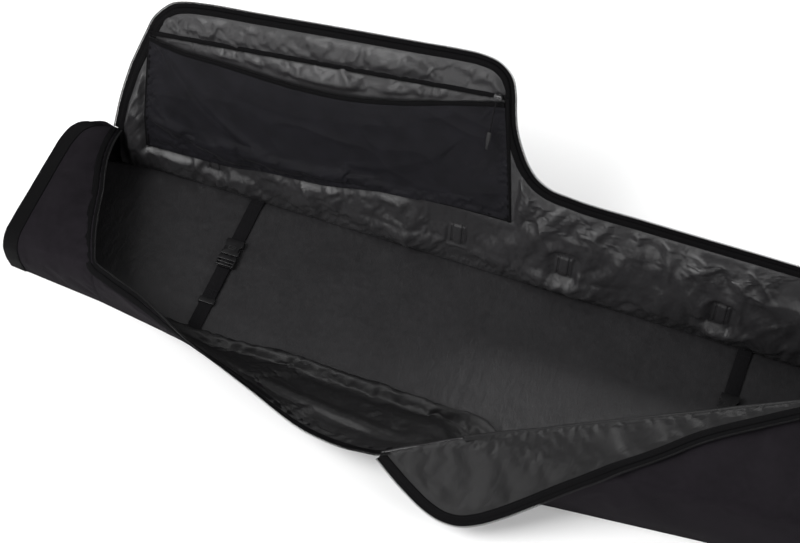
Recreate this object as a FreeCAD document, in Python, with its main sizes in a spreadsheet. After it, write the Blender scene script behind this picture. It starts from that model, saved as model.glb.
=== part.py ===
"""Soft snowboard bag, lying open on the ground.

Frame: +X along the bag, +Y from the front wall to the back wall, +Z up, millimetres.
The origin is on the ground at the middle of the bag's length, on the centre line of the board it holds.
The lid is folded back about the top edge of the back wall. The front flap is turned back over
the front deck, and its corner hangs down outside the front wall.
"""
import FreeCAD, Part
import math
import os

import Sketcher
from FreeCAD import Placement, Rotation, Vector

doc = FreeCAD.newDocument("SnowboardBag")
sheet = doc.addObject("Spreadsheet::Sheet", "Sizes")

# ---------------------------------------------------------------------------------------------
# Driving dimensions. Each row is alias, value in mm or degrees.
# ---------------------------------------------------------------------------------------------
SIZES = [
    ("half_length", 840), ("back_face", 170), ("fold_height", 150),
    ("wall_thick", 4), ("base_thick", 3), ("foam_thick", 6), ("lining_thick", 1.5), ("floor_inset", 8),
    ("cap_rim_height", 93), ("cap_slope", 0.2), ("deck_height", 143), ("deck_thick", 3),
    ("tail_slope", 0.2667), ("tail_start", 690),
    ("tape_thick", 1.5), ("tape_width", 12), ("tape_share", 0.075), ("binding_width", 28), ("skin_thick", 1.2),
    ("lid_open", 110), ("lid_thick", 4), ("lid_gap", 4), ("lid_tape_width", 9),
    ("pocket_left", -694), ("pocket_right", -50), ("pocket_foot", 12), ("pocket_bulge", 18),
    ("pocket_taper", 58), ("mesh_thick", 1.2), ("pocket_tape_left", 172), ("pocket_tape_rise", 74),
    ("pocket_tape_width", 9), ("pull_offset", 25), ("pull_cord_diameter", 2.5),
    ("fold_start_x", 60), ("fold_start_y", -255), ("fold_end_x", 690), ("fold_end_y", 72),
    ("flap_thick", 3), ("flap_lift", 1.5), ("flap_gap", 4), ("flap_tip", 646), ("corner_drop", 48),
    ("webbing_width", 25), ("webbing_thick", 1.5), ("strap_height", 11.3),
    ("left_strap_x", -479), ("right_strap_x", 437),
    ("buckle_width", 34), ("buckle_thick", 10), ("socket_length", 34), ("socket_wall", 2), ("socket_end", 54),
    ("prong_fit", 0.5), ("plug_base", 18), ("plug_length", 22), ("prong_length", 24), ("prong_width", 5),
    ("loop_length", 80), ("loop_rise", 2.1), ("left_reach", 150), ("right_reach", 205),
    ("keeper_y", -86), ("keeper_length", 12), ("keeper_rim", 3),
    ("slider_length", 14), ("slider_width", 10), ("slider_thick", 6), ("slider_start", 16),
    ("ear_length", 5), ("ear_thick", 1.4), ("ear_height", 3), ("pull_length", 42), ("pull_width", 4),
    ("pull_thick", 1.6), ("pull_lift", 0.5), ("pocket_slider_inset", 15),
    ("grip_length", 32), ("pull_grip_width", 8), ("pull_grip_thick", 5),
    ("handle_half", 98), ("handle_height", 100), ("handle_drop", 62), ("grip_half", 58),
    ("grip_width", 34), ("grip_thick", 12), ("ring_left_x", -561), ("ring_right_x", 380),
    ("ring_height", 96), ("ring_radius", 15), ("ring_wire", 2), ("ring_loop", 4.5), ("ring_play", 0.35),
    ("tab_height", 34), ("patch_width", 34), ("patch_height", 52), ("patch_foot", 62),
]

# Front wall, from the left end to the right end: name, place along the bag, foot, rim and rim height.
# It stands under the closed left cap, slumps outwards along the opening and stands again under the deck.
FRONT = [
    ("front_end", -840, -125, -129, 92),
    ("front_cap", -660, -140, -150, 128),
    ("front_lean", -445, -170, -222, 112),
    ("front_slump", -200, -188, -288, 72),
    ("front_low", -60, -208, -292, 66),
    ("front_post", 60, -236, -253, 138),
    ("front_belly", 172, -250, -242, 141),
    ("front_shoulder", 460, -220, -221, 142),
    ("front_deck", 690, -202, -203, 142),
    ("front_tail", 840, -188, -189, 101),
]
# Back wall: name, place along the bag, outer face and rim height.
BACK = [
    ("back_end", -840, 142, 92),
    ("back_cap", -745, 160, 111),
    ("back_fold", -690, 170, 146),
    ("back_mid", 690, 170, 146),
    ("back_tail", 840, 160, 101),
]
# Free edge of the left cap, where the zipper runs, from the back corner to the front edge.
CAP_EDGE = [("cap_a", -748, 156), ("cap_b", -738, 84), ("cap_c", -712, 5), ("cap_d", -697, -45),
            ("cap_e", -679, -100), ("cap_f", -645, -150)]
# Lid outline in the lid's own plane: place along the bag and distance from the fold.
LID = [("lid_a", -722, 80), ("lid_b", -692, 165), ("lid_c", -656, 226), ("lid_d", -600, 244),
       ("lid_e", -100, 301), ("lid_f", -56, 282), ("lid_g", -43, 220), ("lid_i", -20, 150),
       ("lid_j", 10, 100), ("lid_k", 50, 76), ("lid_l", 690, 76)]
# Mouth of the mesh pocket, which sags below its zipper tape.
MOUTH = [("mouth_a", -694, 158), ("mouth_b", -560, 156), ("mouth_c", -430, 155), ("mouth_d", -330, 162),
         ("mouth_e", -220, 190), ("mouth_f", -50, 230)]
# Turned-back flap, measured along the fold and away from it, and the corner that hangs beyond it.
FLAP = [("flap_a", 208, 86), ("flap_b", 305, 65), ("flap_c", 376, 44), ("flap_d", 478, 28), ("flap_e", 546, 19)]
CORNER = [("corner_a", -128, 58), ("corner_b", -62, 112), ("corner_c", -20, 134), ("corner_d", 18, 138),
          ("corner_e", 80, 108), ("corner_f", 167, 46)]


def fill_sheet():
    """Write every driving dimension to the sheet, with its alias."""
    rows = list(SIZES)
    for name, along, foot, rim, height in FRONT:
        rows += [(name + "_x", along), (name + "_foot", foot), (name + "_rim", rim), (name + "_height", height)]
    for name, along, face, height in BACK:
        rows += [(name + "_x", along), (name + "_face", face), (name + "_height", height)]
    for name, along, across in CAP_EDGE + LID + MOUTH + FLAP + CORNER:
        rows += [(name + "_x", along), (name + "_y", across)]
    for number, (alias, value) in enumerate(rows, start=1):
        sheet.set("A%d" % number, alias)
        sheet.set("B%d" % number, str(value))
        sheet.setAlias("B%d" % number, alias)
    doc.recompute()


def size(alias):
    """Value of one driving dimension."""
    return float(sheet.get(alias))


def cell(alias):
    """Expression that reads one driving dimension."""
    return "Sizes." + alias


fill_sheet()
GROUND = Placement()
NODES = {}


def keep(obj, label, placement=None):
    """Register one finished sub-part under its node name."""
    obj.Label = label
    if placement is not None:
        obj.Placement = placement
    NODES[label] = obj
    return obj


def shape_node(label, shape, placement=None):
    """A soft or lofted piece whose shape is worked out from the sheet."""
    obj = doc.addObject("Part::Feature", label)
    obj.Shape = shape
    return keep(obj, label, placement)


def box(label, lengths, corner, frame=GROUND, register=True):
    """A block: three lengths and its low corner, as expressions, inside a local frame."""
    obj = doc.addObject("Part::Box", label)
    for field, text in zip(("Length", "Width", "Height"), lengths):
        obj.setExpression(field, text)
    corner_point = Vector(*[float(obj.evalExpression(text)) for text in corner])
    obj.Placement = frame.multiply(Placement(corner_point, Rotation()))
    return keep(obj, label) if register else obj


def round_bar(label, radius, length, centre, rotation):
    """A cylinder whose radius and length are expressions, placed by its start."""
    obj = doc.addObject("Part::Cylinder", label)
    obj.setExpression("Radius", radius)
    obj.setExpression("Height", length)
    obj.Placement = Placement(centre, rotation)
    return obj


def panel(label, outline, thickness, frame=GROUND, downwards=False):
    """A flat cut panel: an outline of expression pairs, padded to its thickness."""
    body = doc.addObject("PartDesign::Body", label)
    sketch = body.newObject("Sketcher::SketchObject", label + "_outline")
    plane = [feature for feature in body.Origin.OriginFeatures if feature.Role == "XY_Plane"][0]
    sketch.AttachmentSupport = [(plane, "")]
    sketch.MapMode = "FlatFace"
    corners = [Vector(float(body.evalExpression(x)), float(body.evalExpression(y)), 0) for x, y in outline]
    count = len(corners)
    for i in range(count):
        sketch.addGeometry(Part.LineSegment(corners[i], corners[(i + 1) % count]))
    for i in range(count):
        sketch.addConstraint(Sketcher.Constraint("Coincident", i, 2, (i + 1) % count, 1))
    for i, (x, y) in enumerate(outline):
        for kind, value, text in (("DistanceX", corners[i].x, x), ("DistanceY", corners[i].y, y)):
            number = sketch.addConstraint(Sketcher.Constraint(kind, -1, 1, i, 1, value))
            sketch.setExpression("Constraints[%d]" % number, text)
    pad = body.newObject("PartDesign::Pad", label + "_pad")
    pad.Profile = sketch
    pad.setExpression("Length", thickness)
    pad.Reversed = downwards
    body.Tip = pad
    return keep(body, label, frame)


def cut(label, whole, tool):
    """One block with another taken away."""
    obj = doc.addObject("Part::Cut", label)
    obj.Base = whole
    obj.Tool = tool
    return obj


def fuse(label, pieces):
    """Several primitives joined to one solid."""
    obj = doc.addObject("Part::MultiFuse", label)
    obj.Shapes = pieces
    return obj


def section(points):
    """Closed wire through a few corners."""
    return Part.makePolygon(points + [points[0]])


def ruled_wall(label, stations, thickness, outwards):
    """Upright fabric wall through stations of (along, foot y, foot z, rim y, rim z), as expressions' values.

    The given line is the wall's outer face, and outwards is -1 for the front and +1 for the back.
    """
    wires = []
    for along, foot_y, foot_z, rim_y, rim_z in stations:
        inner = -outwards * thickness
        wires.append(section([Vector(along, foot_y, foot_z), Vector(along, foot_y + inner, foot_z),
                              Vector(along, rim_y + inner, rim_z), Vector(along, rim_y, rim_z)]))
    return shape_node(label, Part.makeLoft(wires, True, True))


def sloped_panel(label, outline, height_at, thickness):
    """Flat panel over an outline, on a plane that slopes along the bag."""
    corners = [Vector(x, y, height_at(x)) for x, y in outline]
    face = Part.Face(section(corners))
    return shape_node(label, face.extrude(Vector(0, 0, thickness)))


# ---------------------------------------------------------------------------------------------
# Floor: outer base, foam pad and lining
# ---------------------------------------------------------------------------------------------
def floor_outline(inset):
    """Plan of the floor, inset from the wall feet."""
    front = [(cell(name + "_x"), "%s + %s" % (cell(name + "_foot"), inset)) for name, *_ in FRONT]
    back = [(cell(name + "_x"), "%s - %s" % (cell(name + "_face"), inset)) for name, *_ in reversed(BACK)]
    front[0] = ("%s + %s" % (front[0][0], inset), front[0][1])
    front[-1] = ("%s - %s" % (front[-1][0], inset), front[-1][1])
    back[0] = ("%s - %s" % (back[0][0], inset), back[0][1])
    back[-1] = ("%s + %s" % (back[-1][0], inset), back[-1][1])
    return front + back


def lifted(height):
    """Frame level with a height above the ground."""
    return Placement(Vector(0, 0, height), Rotation())


def make_floor():
    """The floor is three layers: woven base, foam and lining."""
    base = size("base_thick")
    foam_top = base + size("foam_thick")
    panel("base_panel", floor_outline("0"), cell("base_thick"))
    panel("floor_foam", floor_outline(cell("floor_inset")), cell("foam_thick"), lifted(base))
    panel("floor_lining", floor_outline(cell("floor_inset")), cell("lining_thick"), lifted(foam_top))


# ---------------------------------------------------------------------------------------------
# Walls and the closed ends
# ---------------------------------------------------------------------------------------------
def front_stations(first, last, low=0.0, high=1.0, shift=0.0):
    """Front wall stations between two names, over a share of the wall's height."""
    names = [name for name, *_ in FRONT]
    base = size("base_thick")
    stations = []
    for name in names[names.index(first):names.index(last) + 1]:
        foot, rim = size(name + "_foot") + shift, size(name + "_rim") + shift
        height = size(name + "_height")
        at = lambda share: (foot + (rim - foot) * share, base + (height - base) * share)
        stations.append((size(name + "_x"), *at(low), *at(high)))
    return stations


def back_stations():
    """Back wall stations from end to end."""
    return [(size(name + "_x"), size(name + "_face"), size("base_thick"), size(name + "_face"),
             size(name + "_height")) for name, *_ in BACK]


def make_walls():
    """Front wall in three panels, back wall in one, and an end panel at each end."""
    thick = size("wall_thick")
    tape = size("tape_share")
    ruled_wall("front_wall_left", front_stations("front_end", "front_cap"), thick, -1)
    ruled_wall("front_wall_middle", front_stations("front_cap", "front_post", 0, 1 - tape), thick, -1)
    ruled_wall("front_wall_right", front_stations("front_post", "front_tail"), thick, -1)
    ruled_wall("front_zip_tape", front_stations("front_cap", "front_post", 1 - tape, 1), size("tape_thick"), -1)
    ruled_wall("back_wall", back_stations(), thick, 1)
    for label, front, back, low_x in (("left_end_panel", "front_end", "back_end", "-Sizes.half_length"),
                                      ("right_end_panel", "front_tail", "back_tail",
                                       "Sizes.half_length - Sizes.wall_thick")):
        depth = "Sizes.%s_face - Sizes.%s_foot - 2 * Sizes.wall_thick" % (back, front)
        box(label, (cell("wall_thick"), depth, "Sizes.%s_height - Sizes.base_thick" % front),
            (low_x, "Sizes.%s_foot + Sizes.wall_thick" % front, cell("base_thick")))


def cap_plane(along):
    """Underside of the left cap, which slopes down to the left end."""
    return size("cap_rim_height") + size("cap_slope") * (along + size("half_length"))


def tail_plane(along):
    """Underside of the right deck, which slopes down to the right end."""
    return size("deck_height") - size("tail_slope") * (along - size("tail_start"))


def cap_edge(shift):
    """Free edge of the left cap, moved towards the left end."""
    return [(size(name + "_x") - shift, size(name + "_y")) for name, *_ in CAP_EDGE]


def fold_start():
    """Front end of the flap's fold line."""
    return Vector(size("fold_start_x"), size("fold_start_y"), size("fold_height"))


def fold_turn():
    """Rotation that lays local X along the flap's fold line."""
    rise = size("fold_end_y") - size("fold_start_y")
    run = size("fold_end_x") - size("fold_start_x")
    return Rotation(Vector(0, 0, 1), math.degrees(math.atan2(rise, run)))


def make_ends():
    """Closed left cap, front deck and right deck, with their zipper tape and end bindings."""
    thick = size("deck_thick")
    tape = size("tape_width")
    half = size("half_length")
    end_front, end_back = size("front_end_foot"), size("back_end_face")
    cap = cap_edge(tape) + [(-half, size("front_end_rim")), (-half, end_back)]
    sloped_panel("left_cap_top", cap, cap_plane, thick)
    edge = cap_edge(0) + list(reversed(cap_edge(tape - 0.5)))
    sloped_panel("cap_zip_tape", edge, cap_plane, size("tape_thick"))
    gap = size("flap_gap")
    start = (size("tail_start"), size("fold_end_y"))
    fold_x = size("fold_start_x")
    deck = [(fold_x + gap, size("front_post_rim")), (size("front_belly_x"), size("front_belly_rim")),
            (size("front_shoulder_x"), size("front_shoulder_rim")),
            (start[0] - 0.3, size("front_deck_rim")), (start[0] - 0.3, start[1] - gap)]
    sloped_panel("front_deck", deck, lambda along: size("deck_height"), thick)
    tail = [(start[0], size("front_deck_rim")), (half, size("front_tail_rim")),
            (half, size("back_tail_face") - size("wall_thick")),
            (start[0], size("back_mid_face") - size("wall_thick"))]
    sloped_panel("right_deck", tail, tail_plane, thick)
    middle = size("fold_end_y") + tape
    tape_line = [(start[0] + 4, middle - tape / 2), (start[0] + 110, middle - tape / 2),
                 (start[0] + 110, middle + tape / 2), (start[0] + 4, middle + tape / 2)]
    sloped_panel("closed_zip_tape", tape_line, lambda along: tail_plane(along) + thick, size("tape_thick"))
    make_binding("left_end_binding", -half, 1, "front_end", "back_end", lambda x: cap_plane(x) + thick, "cap")
    make_binding("right_end_binding", half, -1, "front_tail", "back_tail",
                 lambda x: tail_plane(x) + thick, "tail")


def make_binding(label, end_x, inwards, front, back, top_plane, neighbour):
    """Woven band over one end: a strip on top and one down each side, just above the base."""
    width, skin = size("binding_width"), size("skin_thick")
    near, far = end_x, end_x + inwards * width
    pairs = {"cap": ("front_cap", "back_cap"), "tail": ("front_deck", "back_mid")}[neighbour]
    foot, face = size(front + "_foot"), size(back + "_face")

    def between(name_end, name_far, field):
        """Value of a wall line at the band's inner edge."""
        share = width / abs(size(name_far + "_x") - size(name_end + "_x"))
        return size(name_end + field) + share * (size(name_far + field) - size(name_end + field))

    low = size("base_thick") + 1
    top = Part.Face(section([Vector(near, size(front + "_rim"), top_plane(near)),
                             Vector(near, face, top_plane(near)),
                             Vector(far, between(back, pairs[1], "_face"), top_plane(far)),
                             Vector(far, between(front, pairs[0], "_rim"), top_plane(far))]))
    solids = [top.extrude(Vector(0, 0, skin))]
    sides = ((-1, foot, size(front + "_rim"), between(front, pairs[0], "_foot"), between(front, pairs[0], "_rim"),
              front, pairs[0]),
             (1, face, face, between(back, pairs[1], "_face"), between(back, pairs[1], "_face"),
              back, pairs[1]))
    for outwards, foot_near, rim_near, foot_far, rim_far, name_near, name_far in sides:
        offset = outwards * 0.3
        wires = []
        for along, foot_y, rim_y, rim_z in ((near, foot_near, rim_near, size(name_near + "_height")),
                                            (far, foot_far, rim_far, between(name_near, name_far, "_height"))):
            inner_low, inner_high = foot_y + offset, rim_y + offset
            wires.append(section([Vector(along, inner_low, low), Vector(along, inner_high, rim_z),
                                  Vector(along, inner_high + outwards * skin, rim_z),
                                  Vector(along, inner_low + outwards * skin, low)]))
        solids.append(Part.makeLoft(wires, True, True))
    shape_node(label, Part.Compound(solids))


# ---------------------------------------------------------------------------------------------
# Lid, folded back about the top edge of the back wall
# ---------------------------------------------------------------------------------------------
def lid_frame():
    """Frame of the lid: X along the fold, -Y towards its free edge, +Z out of the bag."""
    fold = Vector(0, size("back_face"), size("fold_height"))
    return Placement(fold, Rotation(Vector(1, 0, 0), -size("lid_open")))


def lid_outline():
    """Outline of the lid panel as expression pairs in the lid's frame."""
    rim = [(cell(name + "_x"), "-" + cell(name + "_y")) for name, *_ in LID]
    return [("Sizes.lid_a_x", "-Sizes.lid_gap")] + rim + [("Sizes.lid_l_x", "-Sizes.lid_gap")]


def make_lid():
    """Lid panel and its lining, with the zipper tape along the free edge."""
    frame = lid_frame()
    panel("lid_panel", lid_outline(), cell("lid_thick"), frame)
    panel("lid_lining", lid_outline(), cell("lining_thick"), frame, downwards=True)
    points = [Vector(size("lid_a_x"), -size("lid_gap"), 0)]
    points += [Vector(size(name + "_x"), -size(name + "_y"), 0) for name, *_ in LID]
    free_edge = Part.makePolygon(points)
    face = Part.Face(section(points + [Vector(size("lid_l_x"), -size("lid_gap"), 0)]))
    wide = face.makeOffset2D(size("lid_tape_width"), 2)
    ring = wide.cut(face.makeOffset2D(0.3, 2)).extrude(Vector(0, 0, size("tape_thick")))
    low, high = free_edge.BoundBox.XMin - 50, size("lid_l_x")
    clear = Part.makeBox(high - low, 600, 20, Vector(low, -600 - size("lid_gap"), -5))
    shape_node("lid_zip_tape", ring.common(clear), frame)


def inward(depth):
    """Frame on the lid's inner side at a depth below its fold plane."""
    return lid_frame().multiply(Placement(Vector(0, 0, -depth), Rotation()))


def mouth_height(along):
    """Distance of the pocket mouth from the fold at a place along the bag."""
    points = [(size(name + "_x"), size(name + "_y")) for name, *_ in MOUTH]
    for (left, low), (right, high) in zip(points, points[1:]):
        if along <= right:
            return low + (high - low) * (along - left) / (right - left)
    return points[-1][1]


def make_pocket():
    """Mesh pocket on the lid's inner side, open at its mouth, with its tapes."""
    lining = size("lining_thick")
    rise, mesh = size("pocket_bulge"), size("mesh_thick")
    left, right = size("pocket_left"), size("pocket_right")
    stops = [left + size("pocket_taper")] + [size(name + "_x") for name, *_ in MOUTH[1:-1]]
    stops = sorted(set(stops + [left, right, right - size("pocket_taper")]))

    def solid(foot, high_extra, lift_drop, side):
        """Ruled solid over the pocket's stations."""
        wires = []
        for along in stops:
            edge = min(along - left, right - along, size("pocket_taper")) / size("pocket_taper")
            lift = max(rise * edge + mesh - lift_drop, 0.05)
            place = along
            if side and along in (left, right):
                place = along + (side if along == left else -side)
            high = mouth_height(along) + high_extra
            wires.append(section([Vector(place, -foot, 0), Vector(place, -high, 0),
                                  Vector(place, -high, -lift), Vector(place, -foot, -lift)]))
        return Part.makeLoft(wires, True, True)

    outer = solid(size("pocket_foot"), 0, 0, 0)
    inner = solid(size("pocket_foot") + mesh, 20, mesh, 4)
    shape_node("mesh_pocket", outer.cut(inner), inward(lining + 0.3))
    thick = size("tape_thick")
    run = right - left
    rise_along = size("pocket_tape_rise")
    angle = math.degrees(math.atan2(rise_along, run))
    tape_start = Vector(left, -size("pocket_tape_left"), -lining - thick)
    tape_frame = lid_frame().multiply(Placement(tape_start, Rotation(Vector(0, 0, 1), -angle)))
    length = math.hypot(run, rise_along)
    box("pocket_zip_tape", (str(length), cell("pocket_tape_width"), cell("tape_thick")),
        ("0", "-Sizes.pocket_tape_width / 2", "0"), tape_frame)
    box("pocket_binding", (str(run), "Sizes.pocket_foot - Sizes.lid_gap - 1", cell("tape_thick")),
        (cell("pocket_left"), "1 - Sizes.pocket_foot", "-Sizes.lining_thick - Sizes.tape_thick"), lid_frame())
    lip = []
    for name, *_ in MOUTH[1:-1]:
        along = size(name + "_x")
        top = mouth_height(along)
        depth = rise + mesh
        lip.append(section([Vector(along, -top - 0.3, -depth), Vector(along, -top - 6, -depth),
                            Vector(along, -top - 6, mesh - depth), Vector(along, -top - 0.3, mesh - depth)]))
    shape_node("pocket_mouth_tape", Part.makeLoft(lip, True, True), inward(lining + 0.3))
    make_pocket_slider(length, tape_frame, thick)


def make_pocket_slider(length, tape_frame, thick):
    """Slider at the open end of the pocket zipper, with the cord pull that hangs from it."""
    slider_frame = tape_frame.multiply(Placement(Vector(length - size("pocket_slider_inset"), 0, -0.3), Rotation()))
    box("pocket_slider", (cell("slider_length"), cell("slider_width"), cell("slider_thick")),
        ("-Sizes.slider_length / 2", "-Sizes.slider_width / 2", "-Sizes.slider_thick"), slider_frame)
    centre = lid_frame().inverse().multiply(slider_frame).Base
    radius = size("pull_cord_diameter") / 2
    eye_depth = centre.z - size("slider_thick") - radius - 0.3
    eye = Vector(centre.x, centre.y + size("slider_width") / 2 + 1, eye_depth)
    deep = -size("pull_offset")
    route = [eye, Vector(eye.x, eye.y + 12, deep + 3), Vector(eye.x + 1, eye.y + 34, deep - 1),
             Vector(eye.x, eye.y + 55, deep)]
    tube = cord_tube(route, radius)
    shape_node("pocket_pull_cord", tube, lid_frame())
    grip_frame = lid_frame().multiply(Placement(route[-1], Rotation()))
    box("pocket_pull_grip", (cell("pull_grip_width"), cell("grip_length"), cell("pull_grip_thick")),
        ("-Sizes.pull_grip_width / 2", "0.2", "-Sizes.pull_grip_thick / 2"), grip_frame)


def cord_tube(route, radius):
    """Round tube along straight runs joined by tangent arcs, each as large as its runs allow."""
    edges = []
    start = route[0]
    for before, corner, after in zip(route, route[1:], route[2:]):
        arriving, leaving = (corner - before).normalize(), (after - corner).normalize()
        half_turn = arriving.getAngle(leaving) / 2
        reach = 0.45 * min((corner - before).Length, (after - corner).Length)
        arc_radius = reach / math.tan(half_turn)
        first, last = corner - arriving * reach, corner + leaving * reach
        to_centre = (leaving - arriving).normalize()
        centre = corner + to_centre * (arc_radius / math.cos(half_turn))
        middle = centre - to_centre * arc_radius
        edges += [Part.LineSegment(start, first).toShape(), Part.Arc(first, middle, last).toShape()]
        start = last
        print("cord arc radius %.1f mm" % arc_radius)
    edges.append(Part.LineSegment(start, route[-1]).toShape())
    path = Part.Wire(edges)
    ring = Part.Wire([Part.makeCircle(radius, route[0], route[1] - route[0])])
    tube = path.makePipeShell([ring], True, False)
    expected = math.pi * radius * radius * path.Length
    print("cord length %.1f mm, volume ratio %.4f" % (path.Length, tube.Volume / expected))
    return tube


# ---------------------------------------------------------------------------------------------
# Front flap, turned back over the deck, and the corner that hangs over the front wall
# ---------------------------------------------------------------------------------------------
def flap_frame():
    """Frame of the turned-back flap: X along the fold, +Y away from it over the deck, +Z up."""
    turned = fold_turn().multiply(Rotation(Vector(1, 0, 0), 180))
    rest = Placement(fold_start(), turned)
    return rest.multiply(Placement(Vector(0, 0, -size("flap_lift") - size("flap_thick")), Rotation()))


def corner_frame():
    """Frame of the hanging corner: X along the deck's front edge, +Y down the slope of the corner."""
    hinge_end = flap_frame().multVec(Vector(size("flap_a_x"), size("flap_a_y"), 0))
    hinge_start = flap_frame().multVec(Vector(0, 0, 0))
    along = hinge_end - hinge_start
    turn = Rotation(Vector(0, 0, 1), math.degrees(math.atan2(along.y, along.x)))
    drop = Rotation(Vector(1, 0, 0), 180 + size("corner_drop"))
    return Placement(hinge_start, turn.multiply(drop))


def make_flap():
    """Flap panel over the deck, its zipper tape, and the hanging corner with its own tape."""
    outline = [("4 * Sizes.flap_gap", "Sizes.flap_gap"), ("Sizes.flap_a_x - 4", "Sizes.flap_a_y - 4")]
    outline += [(cell(name + "_x"), cell(name + "_y")) for name, *_ in FLAP[1:]]
    outline += [("Sizes.flap_tip", cell("flap_gap"))]
    panel("flap_panel", outline, cell("flap_thick"), flap_frame())
    width = size("lid_tape_width")
    edge = [Vector(size(name + "_x"), size(name + "_y") + 0.3, 0) for name, *_ in FLAP[1:]]
    edge.append(Vector(size("flap_tip"), size("flap_gap") + 0.3, 0))
    strip = Part.Face(section(edge + [point + Vector(0, width, 0) for point in reversed(edge)]))
    shape_node("flap_zip_tape", strip.extrude(Vector(0, 0, size("tape_thick"))), flap_frame())
    hinge = math.hypot(size("flap_a_x"), size("flap_a_y"))
    hang = [("2", cell("flap_gap"))] + [(cell(name + "_x"), cell(name + "_y")) for name, *_ in CORNER]
    panel("flap_corner_panel", hang + [(str(round(hinge - 6, 3)), cell("flap_gap"))], cell("flap_thick"),
          corner_frame())
    points = [Vector(size(name + "_x"), size(name + "_y"), 0) for name, *_ in CORNER]
    face = Part.Face(section([Vector(2, size("flap_gap"), 0)] + points
                             + [Vector(hinge - 6, size("flap_gap"), 0)]))
    ring = face.makeOffset2D(width, 2).cut(face.makeOffset2D(0.3, 2)).extrude(Vector(0, 0, size("tape_thick")))
    clear = Part.makeBox(2 * hinge, 300, 20, Vector(-hinge, size("flap_gap") + 2, -5))
    shape_node("flap_corner_zip_tape", ring.common(clear), corner_frame())


# ---------------------------------------------------------------------------------------------
# Tie-down straps with side-release buckles
# ---------------------------------------------------------------------------------------------
def strap_frame(side):
    """Frame of one strap: on the floor at its place along the bag, +Y to the back."""
    return Placement(Vector(size(side + "_strap_x"), 0, size("strap_height")), Rotation())


def make_strap(side):
    """Rear webbing with the socket, front webbing with the plug, its doubled loop and a keeper."""
    frame = strap_frame(side)
    web, thick = cell("webbing_width"), cell("webbing_thick")
    web_x = "-Sizes.webbing_width / 2"
    rear = "Sizes.back_face - Sizes.wall_thick - Sizes.socket_end - 1"
    reach = "Sizes.%s_reach" % side
    box(side + "_rear_webbing", (web, rear, thick), (web_x, "Sizes.socket_end + 0.5", "0"), frame)
    box(side + "_front_webbing", (web, reach, thick), (web_x, "-" + reach, "0"), frame)
    make_buckle(side, frame)
    plug_end = "Sizes.plug_base - Sizes.plug_length"
    box(side + "_strap_loop", (web, cell("loop_length"), thick),
        (web_x, plug_end + " - Sizes.loop_length - 0.3", cell("loop_rise")), frame)
    rim = "Sizes.keeper_rim"
    stack = "Sizes.loop_rise + Sizes.webbing_thick"
    ring = box(side + "_keeper_block", (web + " + 2 * " + rim, cell("keeper_length"), stack + " + " + rim),
               (web_x + " - " + rim, cell("keeper_y"), "-0.6"), frame, register=False)
    slot = box(side + "_keeper_slot", (web + " + 1", "Sizes.keeper_length + 2", stack + " + 0.8"),
               (web_x + " - 0.5", "Sizes.keeper_y - 1", "-0.4"), frame, register=False)
    keep(cut(side + "_keeper_cut", ring, slot), side + "_strap_keeper")


def make_buckle(side, frame):
    """Side-release buckle: a hollow socket, and a plug with three prongs inside it."""
    wide, tall, wall = cell("buckle_width"), cell("buckle_thick"), cell("socket_wall")
    fit = cell("prong_fit")
    side_x = "-Sizes.buckle_width / 2"
    mouth = "Sizes.socket_end - Sizes.socket_length"
    shell = box(side + "_socket_block", (wide, cell("socket_length"), tall), (side_x, mouth, "0"), frame,
                register=False)
    hollow = box(side + "_socket_hollow", (wide + " - 2 * " + wall, "Sizes.socket_length - 8",
                                           tall + " - 2 * " + wall),
                 (side_x + " + " + wall, mouth + " - 1", wall), frame, register=False)
    keep(cut(side + "_socket_cut", shell, hollow), side + "_buckle_socket")
    base = box(side + "_plug_base", (wide, cell("plug_length"), tall + " - 2 * " + fit),
               (side_x, "Sizes.plug_base - Sizes.plug_length", "Sizes.webbing_thick + " + fit), frame,
               register=False)
    rise = "%s - 2 * %s - 2 * %s" % (tall, wall, fit)
    prongs = []
    for name, corner in (("left_prong", "%s + %s + %s" % (side_x, wall, fit)),
                         ("middle_prong", "-Sizes.prong_width / 2"),
                         ("right_prong", "Sizes.buckle_width / 2 - %s - %s - Sizes.prong_width" % (wall, fit))):
        prongs.append(box(side + "_" + name, (cell("prong_width"), cell("prong_length"), rise),
                          (corner, "Sizes.plug_base - 1", wall + " + " + fit), frame, register=False))
    keep(fuse(side + "_plug_fuse", [base] + prongs), side + "_buckle_plug")


# ---------------------------------------------------------------------------------------------
# Main zipper slider and its pull
# ---------------------------------------------------------------------------------------------
def slider_frame():
    """Frame on the closed zipper where the opening begins, tilted with the right deck."""
    along = size("tail_start") + size("slider_start")
    level = tail_plane(along) + size("deck_thick") + size("tape_thick")
    tilt = math.degrees(math.atan(size("tail_slope")))
    base = Vector(along, size("fold_end_y") + size("tape_width"), level + 0.4)
    return Placement(base, Rotation(Vector(0, 1, 0), tilt))


def make_main_slider():
    """Zipper slider with two ears, and the pull tab between them that lies back on the closed zipper."""
    frame = slider_frame()
    top = "Sizes.slider_thick"
    pieces = [box("slider_block", (cell("slider_length"), cell("slider_width"), top),
                  ("-Sizes.slider_length / 2", "-Sizes.slider_width / 2", "0"), frame, register=False)]
    for name, across in (("near", "-Sizes.pull_width / 2 - Sizes.ear_thick - 0.3"),
                         ("far", "Sizes.pull_width / 2 + 0.3")):
        pieces.append(box("slider_ear_" + name, (cell("ear_length"), cell("ear_thick"),
                                                 "Sizes.ear_height + 1"),
                          ("-Sizes.ear_length / 2", across, top + " - 1"), frame, register=False))
    keep(fuse("slider_fuse", pieces), "main_zip_slider")
    box("main_zip_pull", (cell("pull_length"), cell("pull_width"), cell("pull_thick")),
        ("-Sizes.pull_thick / 2", "-Sizes.pull_width / 2", top + " + Sizes.pull_lift"), frame)


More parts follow.
